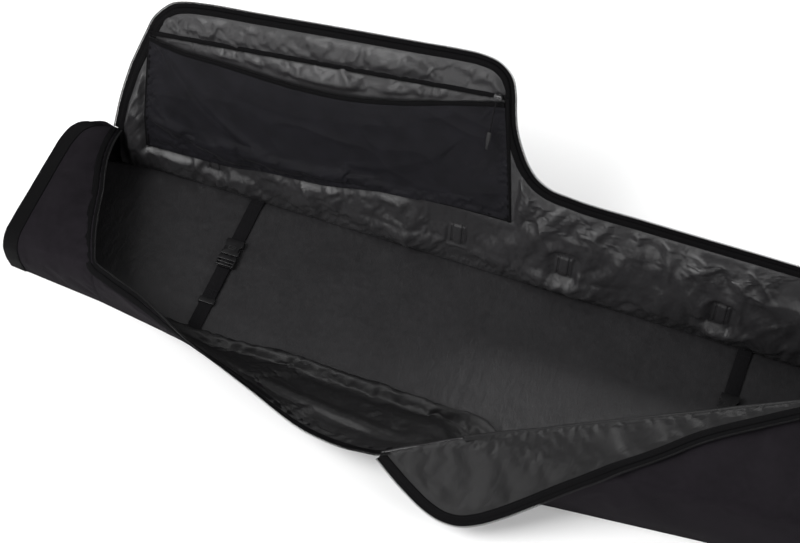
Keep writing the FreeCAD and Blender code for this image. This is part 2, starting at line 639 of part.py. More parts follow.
# ---------------------------------------------------------------------------------------------
# Outside of the back wall: carry handle, ring tabs and rings, and the stitched patches inside
# ---------------------------------------------------------------------------------------------
def outside_frame(along, height):
    """Frame on the back wall's outer face: +Z up, +Y away from the bag."""
    return Placement(Vector(along, size("back_face"), height), Rotation())


def make_handle():
    """Webbing handle that hangs down from two anchors, with a padded grip round its middle."""
    frame = outside_frame(0, size("handle_height"))
    half = size("handle_half")
    for label, along in (("handle_anchor_left", -half), ("handle_anchor_right", half)):
        box(label, (cell("webbing_width"), "2.2", "30"), ("-Sizes.webbing_width / 2", "0.3", "1.5"),
            outside_frame(along, size("handle_height")))
    legs = []
    for name, corner in (("left", "-Sizes.handle_half - Sizes.webbing_width / 2"),
                         ("right", "Sizes.handle_half - Sizes.webbing_width / 2")):
        legs.append(box("handle_leg_" + name, (cell("webbing_width"), "2.5", cell("handle_drop")),
                        (corner, "3.2", "-Sizes.handle_drop"), frame, register=False))
    bottom = box("handle_bottom", ("2 * Sizes.handle_half", "2.5", cell("webbing_width")),
                 ("-Sizes.handle_half", "3.2", "-Sizes.handle_drop"), frame, register=False)
    keep(fuse("handle_fuse", legs + [bottom]), "handle_webbing")
    sleeve = box("grip_block", ("2 * Sizes.grip_half", cell("grip_thick"), cell("grip_width")),
                 ("-Sizes.grip_half", "0.6", "-Sizes.handle_drop - 4.5"), frame, register=False)
    bore = box("grip_bore", ("2 * Sizes.grip_half + 2", "2.6", "Sizes.webbing_width + 0.2"),
               ("-Sizes.grip_half - 1", "3.15", "-Sizes.handle_drop - 0.1"), frame, register=False)
    keep(cut("grip_cut", sleeve, bore), "handle_grip")


def make_ring(side):
    """Webbing tab with a stitched loop, and the round-wire D-ring that swings in it."""
    along = size("ring_" + side + "_x")
    frame = outside_frame(along, size("ring_height"))
    sideways = Rotation(Vector(0, 1, 0), 90)
    out = size("ring_loop") + 0.4
    tab = box(side + "_tab_strip", (cell("webbing_width") + " - 6", "1.8", cell("tab_height")),
              ("3 - Sizes.webbing_width / 2", "0.3", "0"), frame, register=False)
    loop_start = frame.multVec(Vector(3 - size("webbing_width") / 2, out, 0))
    loop = round_bar(side + "_tab_loop", cell("ring_loop"), "Sizes.webbing_width - 6", loop_start, sideways)
    eye_start = frame.multVec(Vector(-size("webbing_width"), out, 0))
    eye = round_bar(side + "_tab_eye", "Sizes.ring_wire + Sizes.ring_play", "2 * Sizes.webbing_width",
                    eye_start, sideways)
    keep(cut(side + "_tab_cut", fuse(side + "_tab_fuse", [tab, loop]), eye), "ring_tab_" + side)
    radius = size("ring_radius")
    bar_start = frame.multVec(Vector(-radius, out, 0))
    bar = round_bar(side + "_ring_bar", cell("ring_wire"), "2 * Sizes.ring_radius", bar_start, sideways)
    bow = doc.addObject("Part::Torus", side + "_ring_bow")
    bow.setExpression("Radius1", cell("ring_radius"))
    bow.setExpression("Radius2", cell("ring_wire"))
    bow.Angle3 = 180
    bow.Placement = Placement(frame.multVec(Vector(0, out, 0)), Rotation(Vector(1, 0, 0), -90))
    keep(fuse(side + "_ring_fuse", [bar, bow]), "d_ring_" + side)


def make_patches():
    """Lining patches stitched inside the back wall behind the rings and the handle."""
    places = [("patch_ring_left", "Sizes.ring_left_x"), ("patch_handle_left", "-Sizes.handle_half"),
              ("patch_handle_right", "Sizes.handle_half"), ("patch_ring_right", "Sizes.ring_right_x")]
    inner = "Sizes.back_face - Sizes.wall_thick - Sizes.skin_thick - 0.2"
    for label, along in places:
        box(label, (cell("patch_width"), cell("skin_thick"), cell("patch_height")),
            (along + " - Sizes.patch_width / 2", inner, cell("patch_foot")))


def check_and_export():
    """Stop on any failed object or bad shape, then write one STEP file per node."""
    doc.recompute()
    for obj in doc.Objects:
        if "Invalid" in obj.State or "Error" in obj.State:
            raise RuntimeError("failed object: " + obj.Label)
    for label, obj in NODES.items():
        if obj.Shape.isNull() or not obj.Shape.isValid():
            raise RuntimeError("bad shape: " + label)
    os.makedirs("parts", exist_ok=True)
    for label, obj in NODES.items():
        obj.Shape.exportStep("parts/%s.step" % label)
        print("%-24s %d solid(s) %9.0f mm3" % (label, len(obj.Shape.Solids), obj.Shape.Volume))


make_floor()
make_walls()
make_ends()
make_lid()
make_pocket()
make_flap()
for strap_side in ("left", "right"):
    make_strap(strap_side)
make_main_slider()
make_handle()
for ring_side in ("left", "right"):
    make_ring(ring_side)
make_patches()
check_and_export()
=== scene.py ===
"""Soft snowboard bag lying open: the visual model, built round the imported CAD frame.

Lengths in the tables and in all working arrays are millimetres in the CAD frame; meshes are made in metres.
"""
import math
from itertools import product

import bmesh
import bpy
import numpy as np
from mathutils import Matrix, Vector


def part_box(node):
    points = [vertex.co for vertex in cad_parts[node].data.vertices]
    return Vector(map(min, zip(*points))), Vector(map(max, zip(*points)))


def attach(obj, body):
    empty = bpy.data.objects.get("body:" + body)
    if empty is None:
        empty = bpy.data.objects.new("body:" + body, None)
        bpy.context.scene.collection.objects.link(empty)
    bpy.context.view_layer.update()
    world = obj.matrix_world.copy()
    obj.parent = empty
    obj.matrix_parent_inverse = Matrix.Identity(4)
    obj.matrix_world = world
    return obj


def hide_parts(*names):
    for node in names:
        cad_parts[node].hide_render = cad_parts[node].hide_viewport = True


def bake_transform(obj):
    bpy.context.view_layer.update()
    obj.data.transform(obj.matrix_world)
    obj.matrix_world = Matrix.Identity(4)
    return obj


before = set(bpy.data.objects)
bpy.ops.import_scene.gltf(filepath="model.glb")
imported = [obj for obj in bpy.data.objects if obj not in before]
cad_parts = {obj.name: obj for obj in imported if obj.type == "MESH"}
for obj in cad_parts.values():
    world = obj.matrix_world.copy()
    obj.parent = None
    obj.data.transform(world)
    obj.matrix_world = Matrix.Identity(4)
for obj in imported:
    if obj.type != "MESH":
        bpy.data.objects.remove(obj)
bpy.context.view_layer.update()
MM = 0.001

# ---------------------------------------------------------------------------------------------
# Camera, floor and light
# ---------------------------------------------------------------------------------------------
TARGET, DISTANCE = Vector((-0.185, 0.106, 0.0)), 3.509
AZIMUTH, ELEVATION = math.radians(20.52), math.radians(56.16)
SENSOR, LENS = 36.0, 88.29      # millimetres
FLOOR_REACH, FLOOR_Z = 30.0, -0.0005


def add_light(name, location, target, side, watts):
    """Square soft light that faces a point."""
    data = bpy.data.lights.new(name, "AREA")
    data.shape, data.size, data.energy = "SQUARE", side, watts
    lamp = bpy.data.objects.new(name, data)
    lamp.location = location
    lamp.rotation_euler = (Vector(target) - Vector(location)).to_track_quat("-Z", "Y").to_euler()
    bpy.context.scene.collection.objects.link(lamp)


def make_stage():
    """Camera at the fitted viewpoint, pale floor and soft studio light."""
    back = Vector((math.sin(AZIMUTH) * math.cos(ELEVATION), -math.cos(AZIMUTH) * math.cos(ELEVATION),
                   math.sin(ELEVATION)))
    data = bpy.data.cameras.new("camera")
    data.sensor_width, data.lens = SENSOR, LENS
    data.clip_end = 100
    camera = bpy.data.objects.new("camera", data)
    camera.location = TARGET + back * DISTANCE
    camera.rotation_euler = (-back).to_track_quat("-Z", "Y").to_euler()
    bpy.context.scene.collection.objects.link(camera)
    bpy.context.scene.camera = camera
    mesh = bpy.data.meshes.new("floor")
    corners = ((-1, -1), (1, -1), (1, 1), (-1, 1))
    mesh.from_pydata([(x * FLOOR_REACH, y * FLOOR_REACH, FLOOR_Z) for x, y in corners], [], [(0, 1, 2, 3)])
    floor = bpy.data.objects.new("floor", mesh)
    bpy.context.scene.collection.objects.link(floor)
    material = bpy.data.materials.new("floor")
    material.use_nodes = True
    shader = material.node_tree.nodes["Principled BSDF"]
    shader.inputs["Base Color"].default_value = (0.93, 0.93, 0.93, 1)
    shader.inputs["Roughness"].default_value = 0.8
    mesh.materials.append(material)
    world = bpy.data.worlds.new("studio")
    world.use_nodes = True
    world.node_tree.nodes["Background"].inputs["Color"].default_value = (1.0, 1.0, 1.0, 1)
    world.node_tree.nodes["Background"].inputs["Strength"].default_value = 0.22
    bpy.context.scene.world = world
    bpy.context.scene.view_settings.view_transform = "Standard"
    add_light("key", (-1.9, -1.5, 2.7), (-0.1, 0.05, 0), 1.8, 122)
    add_light("back", (0.9, 3.1, 1.9), (0.5, 0.8, 0), 2.6, 140)
    add_light("side", (2.8, -0.9, 1.9), (0.1, 0.1, 0), 1.8, 45)
    add_light("front", (-0.6, -3.0, 1.0), (-0.1, 0.2, 0.2), 1.4, 38)


make_stage()


# ---------------------------------------------------------------------------------------------
# Curves, grids and noise
# ---------------------------------------------------------------------------------------------
LATTICE = np.random.default_rng(11).uniform(-1, 1, (64, 64, 64))


def unit(a):
    """Vectors of length one."""
    return a / np.maximum(np.linalg.norm(a, axis=-1, keepdims=True), 1e-9)


def noise(p, scale, seed=0, octaves=3):
    """Smooth noise of about -1 to 1, with features of that size in millimetres."""
    total, weight = 0.0, 1.0
    for octave in range(octaves):
        q = np.asarray(p, float) / scale * 2 ** octave + 17.3 * seed + 5.1 * octave
        cell = np.floor(q).astype(int)
        f = q - cell
        f = f * f * (3 - 2 * f)
        part = 0.0
        for corner in product((0, 1), repeat=3):
            w = 1.0
            for axis in range(3):
                w = w * (f[..., axis] if corner[axis] else 1 - f[..., axis])
            i = (cell + np.array(corner)) % 64
            part = part + LATTICE[i[..., 0], i[..., 1], i[..., 2]] * w
        total, weight = total + part * weight, weight * 0.5
    return total


def ridges(p, scale, seed=0):
    """Sharp creases between 0 and 1."""
    return (1 - np.abs(noise(p, scale, seed, 2))) ** 3


def hermite(knots, values, t):
    """Smooth interpolation at t of values given at the knots, as many as there are rows."""
    slope = np.gradient(values, knots, axis=0)
    k = np.clip(np.searchsorted(knots, t, side="right") - 1, 0, len(values) - 2)
    column = (-1,) + (1,) * (values.ndim - 1)
    h = (knots[k + 1] - knots[k]).reshape(column)
    s = (t - knots[k]).reshape(column) / h
    return ((2 * s ** 3 - 3 * s ** 2 + 1) * values[k] + (s ** 3 - 2 * s ** 2 + s) * h * slope[k]
            + (3 * s ** 2 - 2 * s ** 3) * values[k + 1] + (s ** 3 - s ** 2) * h * slope[k + 1])


def dense_curve(points, smooth=True):
    """Closely spaced points on a curve through the given ones, and their arc lengths."""
    p = np.array(points, float)
    chord = np.r_[0, np.cumsum(np.linalg.norm(np.diff(p, axis=0), axis=1))]
    t = np.linspace(0, chord[-1], 40 * len(p))
    if smooth and len(p) > 2:
        out = hermite(chord, p, t)
    else:
        out = np.stack([np.interp(t, chord, p[:, i]) for i in range(p.shape[1])], 1)
    arc = np.r_[0, np.cumsum(np.linalg.norm(np.diff(out, axis=0), axis=1))]
    return out, arc


def at_arc(dense, arc, where):
    """Points at the given arc lengths."""
    return np.stack([np.interp(where, arc, dense[:, i]) for i in range(dense.shape[1])], -1)


def curve(points, count, smooth=True):
    """Evenly spaced points on a curve through the given ones."""
    dense, arc = dense_curve(points, smooth)
    return at_arc(dense, arc, np.linspace(0, arc[-1], count))


def even(path, step, *others):
    """A path and arrays that go with it, resampled to an even step."""
    arc = np.r_[0, np.cumsum(np.linalg.norm(np.diff(path, axis=0), axis=1))]
    where = np.linspace(0, arc[-1], max(2, int(round(arc[-1] / step)) + 1))
    return [at_arc(np.asarray(a, float), arc, where) for a in (path, *others)]


def squarish(wave, power):
    """A ring's sine or cosine, pushed out towards the corners of a square."""
    return np.sign(wave) * np.abs(wave) ** power


def grid_normals(grid):
    """Unit normals of a grid of points."""
    du, dv = np.gradient(grid, axis=0), np.gradient(grid, axis=1)
    return unit(np.cross(du, dv))


def finer(grid, axis):
    """Twice as many cells along one axis, on cubic curves."""
    g = np.moveaxis(grid, axis, 0)
    before = np.concatenate([2 * g[:1] - g[1:2], g[:-1]])
    after = np.concatenate([g[1:], 2 * g[-1:] - g[-2:-1]])
    middle = (9 * (g[:-1] + g[1:]) - before[:-1] - after[1:]) / 16
    out = np.empty((2 * len(g) - 1, *g.shape[1:]))
    out[::2], out[1::2] = g, middle
    return np.moveaxis(out, 0, axis)


def refined(grid):
    """Twice as many cells along both directions of a grid."""
    return finer(finer(grid, 0), 1)


def loft(sections, along, count_along, count_across):
    """Smooth grid through sections; each is a list of control points, one section per place along."""
    rows = np.array([curve(s, count_across) for s in sections])
    place = np.array(along, float)
    return hermite(place, rows, np.linspace(place[0], place[-1], count_along))


# ---------------------------------------------------------------------------------------------
# Mesh makers
# ---------------------------------------------------------------------------------------------
def new_piece(name, verts, faces, material, uv=None, smooth=True):
    """Mesh object from millimetre points; uv holds one pair per vertex, in metres."""
    mesh = bpy.data.meshes.new(name)
    mesh.from_pydata((np.asarray(verts) * MM).tolist(), [], [list(f) for f in faces])
    mesh.polygons.foreach_set("use_smooth", [smooth] * len(mesh.polygons))
    if uv is not None:
        layer = mesh.uv_layers.new(name="cloth")
        index = np.empty(len(mesh.loops), np.int32)
        mesh.loops.foreach_get("vertex_index", index)
        layer.data.foreach_set("uv", (np.asarray(uv)[index] * MM).astype(np.float32).ravel())
    mesh.materials.append(material)
    mesh.validate()
    obj = bpy.data.objects.new(name, mesh)
    bpy.context.scene.collection.objects.link(obj)
    return obj


def grid_faces(n, m, offset=0, flip=False, wrap=False):
    """Quads of an n by m grid of vertices."""
    i, j = np.meshgrid(np.arange(n - 1), np.arange(m if wrap else m - 1), indexing="ij")
    a, b = i * m + j, (i + 1) * m + j
    c, d = (i + 1) * m + (j + 1) % m, i * m + (j + 1) % m
    quads = np.stack([a, b, c, d], -1).reshape(-1, 4) + offset
    return quads[:, ::-1] if flip else quads


def tube_faces(steps, sides):
    """Quads of a tube made of rings of vertices, and its two end faces."""
    faces = [tuple(f) for f in grid_faces(steps, sides, wrap=True)]
    last = (steps - 1) * sides
    return faces + [tuple(range(sides)), tuple(last + k for k in reversed(range(sides)))]


def grid_uv(grid):
    """Arc lengths along both directions of a grid."""
    out = []
    for axis in (0, 1):
        step = np.linalg.norm(np.diff(grid, axis=axis), axis=-1)
        total = np.cumsum(step, axis=axis)
        zero = np.zeros_like(np.take(total, [0], axis=axis))
        out.append(np.concatenate([zero, total], axis=axis))
    return np.stack(out, -1)


def slab_faces(n, m):
    """Faces of two n by m grids, one over the other, and of the wall between their edges."""
    count = n * m
    faces = list(grid_faces(n, m)) + list(grid_faces(n, m, count, True))
    ring = ([i * m for i in range(n)] + [(n - 1) * m + j for j in range(1, m)]
            + [i * m + m - 1 for i in range(n - 2, -1, -1)] + [j for j in range(m - 2, 0, -1)])
    return faces + [(b, a, a + count, b + count) for a, b in zip(ring, ring[1:] + ring[:1])]


def slab(name, grid, material, above=0.5, below=0.5, normals=None):
    """Closed thin piece round a grid: above and below are its reach along and against the normals."""
    n, m = grid.shape[:2]
    normal = grid_normals(grid) if normals is None else normals
    top, bottom = grid + normal * above, grid - normal * below
    uv = grid_uv(grid).reshape(-1, 2)
    verts = np.concatenate([top.reshape(-1, 3), bottom.reshape(-1, 3)])
    obj = new_piece(name, verts, slab_faces(n, m), material, np.concatenate([uv, uv]))
    shading = np.concatenate([normal.reshape(-1, 3), -normal.reshape(-1, 3)])
    obj.data.normals_split_custom_set_from_vertices(shading.tolist())
    return obj


def strip_profile(width, thick, left=None):
    """Flat band's cross-section with rounded edges, as (across, up) pairs."""
    left = -width / 2 if left is None else left
    r = thick / 2
    points = []
    for centre, start in ((left + width - r, -90), (left + r, 90)):
        for k in range(5):
            angle = math.radians(start + 45 * k)
            points.append((centre + r * math.cos(angle), r * math.sin(angle)))
    return np.array(points)


def round_profile(radius, sides=10):
    """Circle as (across, up) pairs."""
    angle = np.linspace(0, 2 * math.pi, sides, endpoint=False)
    return np.stack([radius * np.cos(angle), radius * np.sin(angle)], 1)


def sweep(name, path, across, up, profile, material, closed=False):
    """Profile carried along a path; across and up are its directions at each point."""
    n, m = len(path), len(profile)
    rings = (path[:, None] + profile[None, :, :1] * across[:, None] + profile[None, :, 1:] * up[:, None])
    arc = np.r_[0, np.cumsum(np.linalg.norm(np.diff(path, axis=0), axis=1))]
    girth = np.r_[0, np.cumsum(np.linalg.norm(np.diff(profile, axis=0), axis=1))]
    uv = np.stack(np.meshgrid(arc, girth, indexing="ij"), -1).reshape(-1, 2)
    faces = [tuple(f) for f in grid_faces(n, m, wrap=True)]
    if closed:
        faces += [((n - 1) * m + j, j, (j + 1) % m, (n - 1) * m + (j + 1) % m) for j in range(m)]
    else:
        faces += [tuple(range(m)), tuple((n - 1) * m + j for j in reversed(range(m)))]
    obj = new_piece(name, rings.reshape(-1, 3), faces, material, uv)
    fix_normals(obj)
    return obj


def fix_normals(obj):
    """Faces turned outwards."""
    b = bmesh.new()
    b.from_mesh(obj.data)
    bmesh.ops.recalc_face_normals(b, faces=b.faces)
    b.to_mesh(obj.data)
    b.free()


def copies(name, verts, faces, origins, xs, ys, zs, material):
    """One small shape repeated at many places, each with its own axes."""
    v = np.asarray(verts, float)
    placed = (origins[:, None] + v[None, :, :1] * xs[:, None] + v[None, :, 1:2] * ys[:, None]
              + v[None, :, 2:] * zs[:, None])
    count = len(v)
    every = [tuple(i + k * count for i in f) for k in range(len(origins)) for f in faces]
    return new_piece(name, placed.reshape(-1, 3), every, material)


def join(name, objects):
    """Several new pieces joined to one."""
    b = bmesh.new()
    materials = []
    for obj in objects:
        material = obj.data.materials[0]
        if material not in materials:
            materials.append(material)
        start = len(b.faces)
        b.from_mesh(obj.data)
        b.faces.ensure_lookup_table()
        for face in b.faces[start:]:
            face.material_index = materials.index(material)
        bpy.data.objects.remove(obj)
    mesh = bpy.data.meshes.new(name)
    b.to_mesh(mesh)
    b.free()
    for material in materials:
        mesh.materials.append(material)
    out = bpy.data.objects.new(name, mesh)
    bpy.context.scene.collection.objects.link(out)
    return out


def block(name, outline, low, high, bevel, material, place=None):
    """Moulded block: a plan outline between two heights with rounded edges; place maps its points."""
    b = bmesh.new()
    face = b.faces.new([b.verts.new((x, y, low)) for x, y in outline])
    top = bmesh.ops.extrude_face_region(b, geom=[face])
    moved = [v for v in top["geom"] if isinstance(v, bmesh.types.BMVert)]
    bmesh.ops.translate(b, verts=moved, vec=(0, 0, high - low))
    bmesh.ops.recalc_face_normals(b, faces=b.faces)
    bmesh.ops.bevel(b, geom=list(b.edges), offset=bevel, segments=3, affect="EDGES", profile=0.5)
    b.verts.ensure_lookup_table()
    verts = np.array([v.co for v in b.verts])
    index = {v: i for i, v in enumerate(b.verts)}
    faces = [tuple(index[v] for v in f.verts) for f in b.faces]
    b.free()
    obj = new_piece(name, verts if place is None else place(verts), faces, material)
    obj.data.set_sharp_from_angle(angle=math.radians(40))
    return obj


def drape(grid, pin, grow, frames=16, bend=0.6, gravity=0.0, cap=9.0, seed=1, bias=0.0):
    """Cloth simulation of a grid that is cut a little too large for its pinned edges, so it puckers.

    pin is 0 for free points to 1 for sewn ones, bias starts the bulge along the normals in millimetres,
    and no point moves further than about cap.
    """
    n, m = grid.shape[:2]
    start = grid + grid_normals(grid) * ((noise(grid, 35, seed) * 0.8 + bias) * (1 - pin))[..., None]
    mesh = bpy.data.meshes.new("drape")
    mesh.from_pydata((start.reshape(-1, 3) * MM).tolist(), [], grid_faces(n, m).tolist())
    obj = bpy.data.objects.new("drape", mesh)
    bpy.context.scene.collection.objects.link(obj)
    group = obj.vertex_groups.new(name="pin")
    weights = np.round(pin.ravel(), 2)
    for value in np.unique(weights[weights > 0]):
        group.add(np.nonzero(weights == value)[0].tolist(), float(value), "REPLACE")
    cloth = obj.modifiers.new("cloth", "CLOTH")
    s = cloth.settings
    s.quality, s.mass, s.air_damping = 5, 0.25, 4.0
    s.tension_stiffness = s.compression_stiffness = 22
    s.shear_stiffness, s.bending_stiffness = 8, bend
    s.vertex_group_mass = "pin"
    s.shrink_min = -grow
    s.effector_weights.gravity = gravity
    cloth.collision_settings.use_collision = False
    cloth.point_cache.frame_start, cloth.point_cache.frame_end = 1, frames
    scene = bpy.context.scene
    for f in range(1, frames + 1):
        scene.frame_set(f)
    shape = obj.evaluated_get(bpy.context.evaluated_depsgraph_get()).to_mesh()
    out = np.empty(n * m * 3, np.float32)
    shape.vertices.foreach_get("co", out)
    bpy.data.objects.remove(obj)
    bpy.data.meshes.remove(mesh)
    scene.frame_set(1)
    move = out.reshape(n, m, 3).astype(float) / MM - grid
    move[~np.isfinite(move)] = 0
    far = np.linalg.norm(move, axis=-1, keepdims=True)
    return grid + move * (cap * np.tanh(far / cap) / np.maximum(far, 1e-6))


def edge_pins(n, m, sides, soft=2):
    """Pin weights that are 1 on the named edges of a grid and fade over a few cells."""
    pin = np.zeros((n, m))
    for side in sides:
        for k in range(soft + 1):
            w = 1 - k / (soft + 1)
            where = {"start": (k, slice(None)), "end": (n - 1 - k, slice(None)),
                     "low": (slice(None), k), "high": (slice(None), m - 1 - k)}[side]
            pin[where] = np.maximum(pin[where], w)
    return pin


# ---------------------------------------------------------------------------------------------
# Materials
# ---------------------------------------------------------------------------------------------
class Nodes:
    """Short way to build a node material."""

    def __init__(self, name):
        self.material = bpy.data.materials.new(name)
        self.material.use_nodes = True
        self.tree = self.material.node_tree
        self.shader = self.tree.nodes["Principled BSDF"]

    def add(self, kind, **settings):
        node = self.tree.nodes.new(kind)
        for key, value in settings.items():
            if key.startswith("in_"):
                node.inputs[key[3:].replace("_", " ")].default_value = value
            else:
                setattr(node, key, value)
        return node

    def link(self, a, b):
        self.tree.links.new(a, b)

    def math(self, operation, a, b=None):
        node = self.add("ShaderNodeMath", operation=operation)
        for socket, value in zip(node.inputs, (a, b)):
            if value is None:
                continue
            if isinstance(value, (int, float)):
                socket.default_value = value
            else:
                self.link(value, socket)
        return node.outputs[0]

    def set(self, **values):
        for key, value in values.items():
            self.shader.inputs[key.replace("_", " ")].default_value = value

    def coords(self, on_uv):
        node = self.add("ShaderNodeTexCoord")
        return node.outputs["UV" if on_uv else "Object"]

    def noise(self, coords, scale, detail=3.0, rough=0.55, distortion=0.0):
        node = self.add("ShaderNodeTexNoise", in_Scale=scale, in_Detail=detail, in_Roughness=rough,
                        in_Distortion=distortion)
        self.link(coords, node.inputs["Vector"])
        return node.outputs["Fac"]

    def ramp(self, factor, stops):
        node = self.add("ShaderNodeValToRGB")
        elements = node.color_ramp.elements
        for i, (position, colour) in enumerate(stops):
            e = elements[i] if i < 2 else elements.new(position)
            e.position, e.color = position, (*colour, 1)
        self.link(factor, node.inputs["Fac"])
        return node.outputs["Color"]

    def span(self, factor, low, high):
        node = self.add("ShaderNodeMapRange")
        node.inputs["To Min"].default_value, node.inputs["To Max"].default_value = low, high
        self.link(factor, node.inputs["Value"])
        return node.outputs["Result"]

    def bump(self, height, distance, strength=1.0, below=None):
        node = self.add("ShaderNodeBump", in_Distance=distance, in_Strength=strength)
        self.link(height, node.inputs["Height"])
        if below is not None:
            self.link(below, node.inputs["Normal"])
        return node.outputs["Normal"]

    def wave(self, coords, period, direction):
        node = self.add("ShaderNodeTexWave", wave_type="BANDS", bands_direction=direction,
                        in_Scale=0.314159 / period)
        self.link(coords, node.inputs["Vector"])
        return node.outputs["Fac"]

    def weave(self, coords, period):
        """Plain weave: warp threads show in one half of the checks, weft in the other."""
        checker = self.add("ShaderNodeTexChecker", in_Scale=1 / period)
        self.link(coords, checker.inputs["Vector"])
        choice = checker.outputs["Fac"]
        warp, weft = self.wave(coords, period, "X"), self.wave(coords, period, "Y")
        return self.math("ADD", self.math("MULTIPLY", warp, choice),
                         self.math("MULTIPLY", weft, self.math("SUBTRACT", 1.0, choice)))


def dark(value, tint=(1.0, 0.96, 1.06)):
    """Near-black colour with a slight tint."""
    return tuple(value * t for t in tint)


def cloth_material(name, low, high, rough, weave, sheen, on_uv=True, wear=0.3, depth=0.00012, specular=0.5,
                   tint=(1.06, 0.92, 1.12), crinkle=0.0):
    """Woven cloth: thread relief with painted shade between the threads, uneven dye and faint scuffs."""
    n = Nodes(name)
    c = n.coords(on_uv)
    world = n.coords(False)
    threads = n.weave(c, weave)
    patches = n.noise(world, 9.0, 4.0, 0.6)
    scuff = n.noise(world, 85.0, 5.0, 0.7, 0.4)
    mixed = n.math("ADD", n.math("MULTIPLY", patches, 0.55), n.math("MULTIPLY", scuff, 0.45))
    body = n.ramp(mixed, [(0.3, dark(low, tint)), (0.7, dark(high, tint))])
    mix = n.add("ShaderNodeMix", data_type="RGBA", blend_type="MULTIPLY")
    mix.inputs[0].default_value = 0.45
    # painted shade between the threads and lighter thread tops: the weave's height darkens or lightens the colour
    shade = n.ramp(threads, [(0.0, (0.35, 0.35, 0.36)), (1.0, (1.15, 1.15, 1.15))])
    n.link(body, mix.inputs[6])
    n.link(shade, mix.inputs[7])
    n.link(mix.outputs[2], n.shader.inputs["Base Color"])
    n.link(n.span(scuff, rough - 0.10, rough + wear * 0.4), n.shader.inputs["Roughness"])
    relief = n.bump(threads, depth)
    if crinkle:
        drawn = n.add("ShaderNodeMapping")
        drawn.inputs["Scale"].default_value = (1.0, 0.45, 1.0)
        n.link(c, drawn.inputs["Vector"])
        folds = n.add("ShaderNodeTexNoise", noise_type="RIDGED_MULTIFRACTAL", in_Scale=38.0, in_Detail=2.5,
                      in_Roughness=0.55, in_Distortion=0.6)
        n.link(drawn.outputs["Vector"], folds.inputs["Vector"])
        soft = n.noise(drawn.outputs["Vector"], 90.0, 3.0, 0.6, 0.5)
        relief = n.bump(folds.outputs["Fac"], crinkle, 1.0, relief)
        relief = n.bump(soft, crinkle, 1.0, relief)
    n.link(relief, n.shader.inputs["Normal"])
    n.set(Sheen_Weight=sheen, Sheen_Roughness=0.45, Specular_IOR_Level=specular)
    return n.material


def ribbed_material(name, low, high, period, on_uv=True, rough=0.62, across="X", depth=0.0003):
    """Webbing or tape: ribs across the run with fine threads along them, with painted shade in the grooves."""
    n = Nodes(name)
    c = n.coords(on_uv)
    ribs = n.wave(c, period, across)
    threads = n.wave(c, period * 0.62, "Y" if across == "X" else "X")
    height = n.math("ADD", n.math("MULTIPLY", ribs, 0.7), n.math("MULTIPLY", threads, 0.3))
    fuzz = n.noise(n.coords(False), 160.0, 4.0, 0.7)
    # colour from the ribs' and threads' height, painted shade in the grooves, mixed with random fuzz tone
    mixed = n.math("ADD", n.math("MULTIPLY", height, 0.55), n.math("MULTIPLY", fuzz, 0.45))
    n.link(n.ramp(mixed, [(0.25, dark(low)), (0.8, dark(high))]), n.shader.inputs["Base Color"])
    n.link(n.span(fuzz, rough - 0.08, rough + 0.12), n.shader.inputs["Roughness"])
    n.link(n.bump(height, depth), n.shader.inputs["Normal"])
    n.set(Specular_IOR_Level=0.04)
    return n.material


def moulded_material(name, low, high, rough, grain, specular=0.5, metallic=0.0, coat=0.0):
    """Moulded plastic, rubber or enamelled metal with fine grain and wear."""
    n = Nodes(name)
    c = n.coords(False)
    fine, broad = n.noise(c, 1400.0, 3.0, 0.6), n.noise(c, 60.0, 4.0, 0.6)
    n.link(n.ramp(broad, [(0.3, dark(low)), (0.7, dark(high))]), n.shader.inputs["Base Color"])
    n.link(n.span(broad, rough - 0.07, rough + 0.1), n.shader.inputs["Roughness"])
    n.link(n.bump(fine, grain), n.shader.inputs["Normal"])
    n.set(Specular_IOR_Level=specular, Metallic=metallic, Coat_Weight=coat)
    return n.material


def mesh_material():
    """Open knitted mesh: dark threads round small holes, so the lining shows through."""
    n = Nodes("pocket_mesh")
    c = n.coords(True)
    a, b = n.wave(c, 0.0017, "X"), n.wave(c, 0.0017, "Y")
    open_part = n.math("MULTIPLY", a, b)
    hole = n.math("MULTIPLY", n.math("GREATER_THAN", open_part, 0.56), 0.70)
    shade = n.noise(n.coords(False), 30.0, 4.0, 0.6)
    tint = (0.97, 0.93, 1.2)
    n.link(n.ramp(shade, [(0.3, dark(0.005, tint)), (0.7, dark(0.009, tint))]), n.shader.inputs["Base Color"])
    n.link(n.math("SUBTRACT", 1.0, hole), n.shader.inputs["Alpha"])
    n.link(n.span(shade, 0.55, 0.7), n.shader.inputs["Roughness"])
    n.link(n.bump(open_part, 0.0002), n.shader.inputs["Normal"])
    n.set(Sheen_Weight=0.02, Sheen_Roughness=0.4, Specular_IOR_Level=0.1)
    return n.material


SHELL = cloth_material("shell_cloth", 0.0075, 0.0135, 0.78, 0.0011, 0.0, wear=0.3, specular=0.03)
SHELL_PLAIN = cloth_material("shell_base", 0.0075, 0.0135, 0.78, 0.0011, 0.0, on_uv=False, specular=0.03)
LINING = cloth_material("lining_cloth", 0.015, 0.025, 0.36, 0.0007, 0.0, depth=0.00004, specular=0.40,
                        tint=(1.0, 0.97, 1.03), crinkle=0.0009)
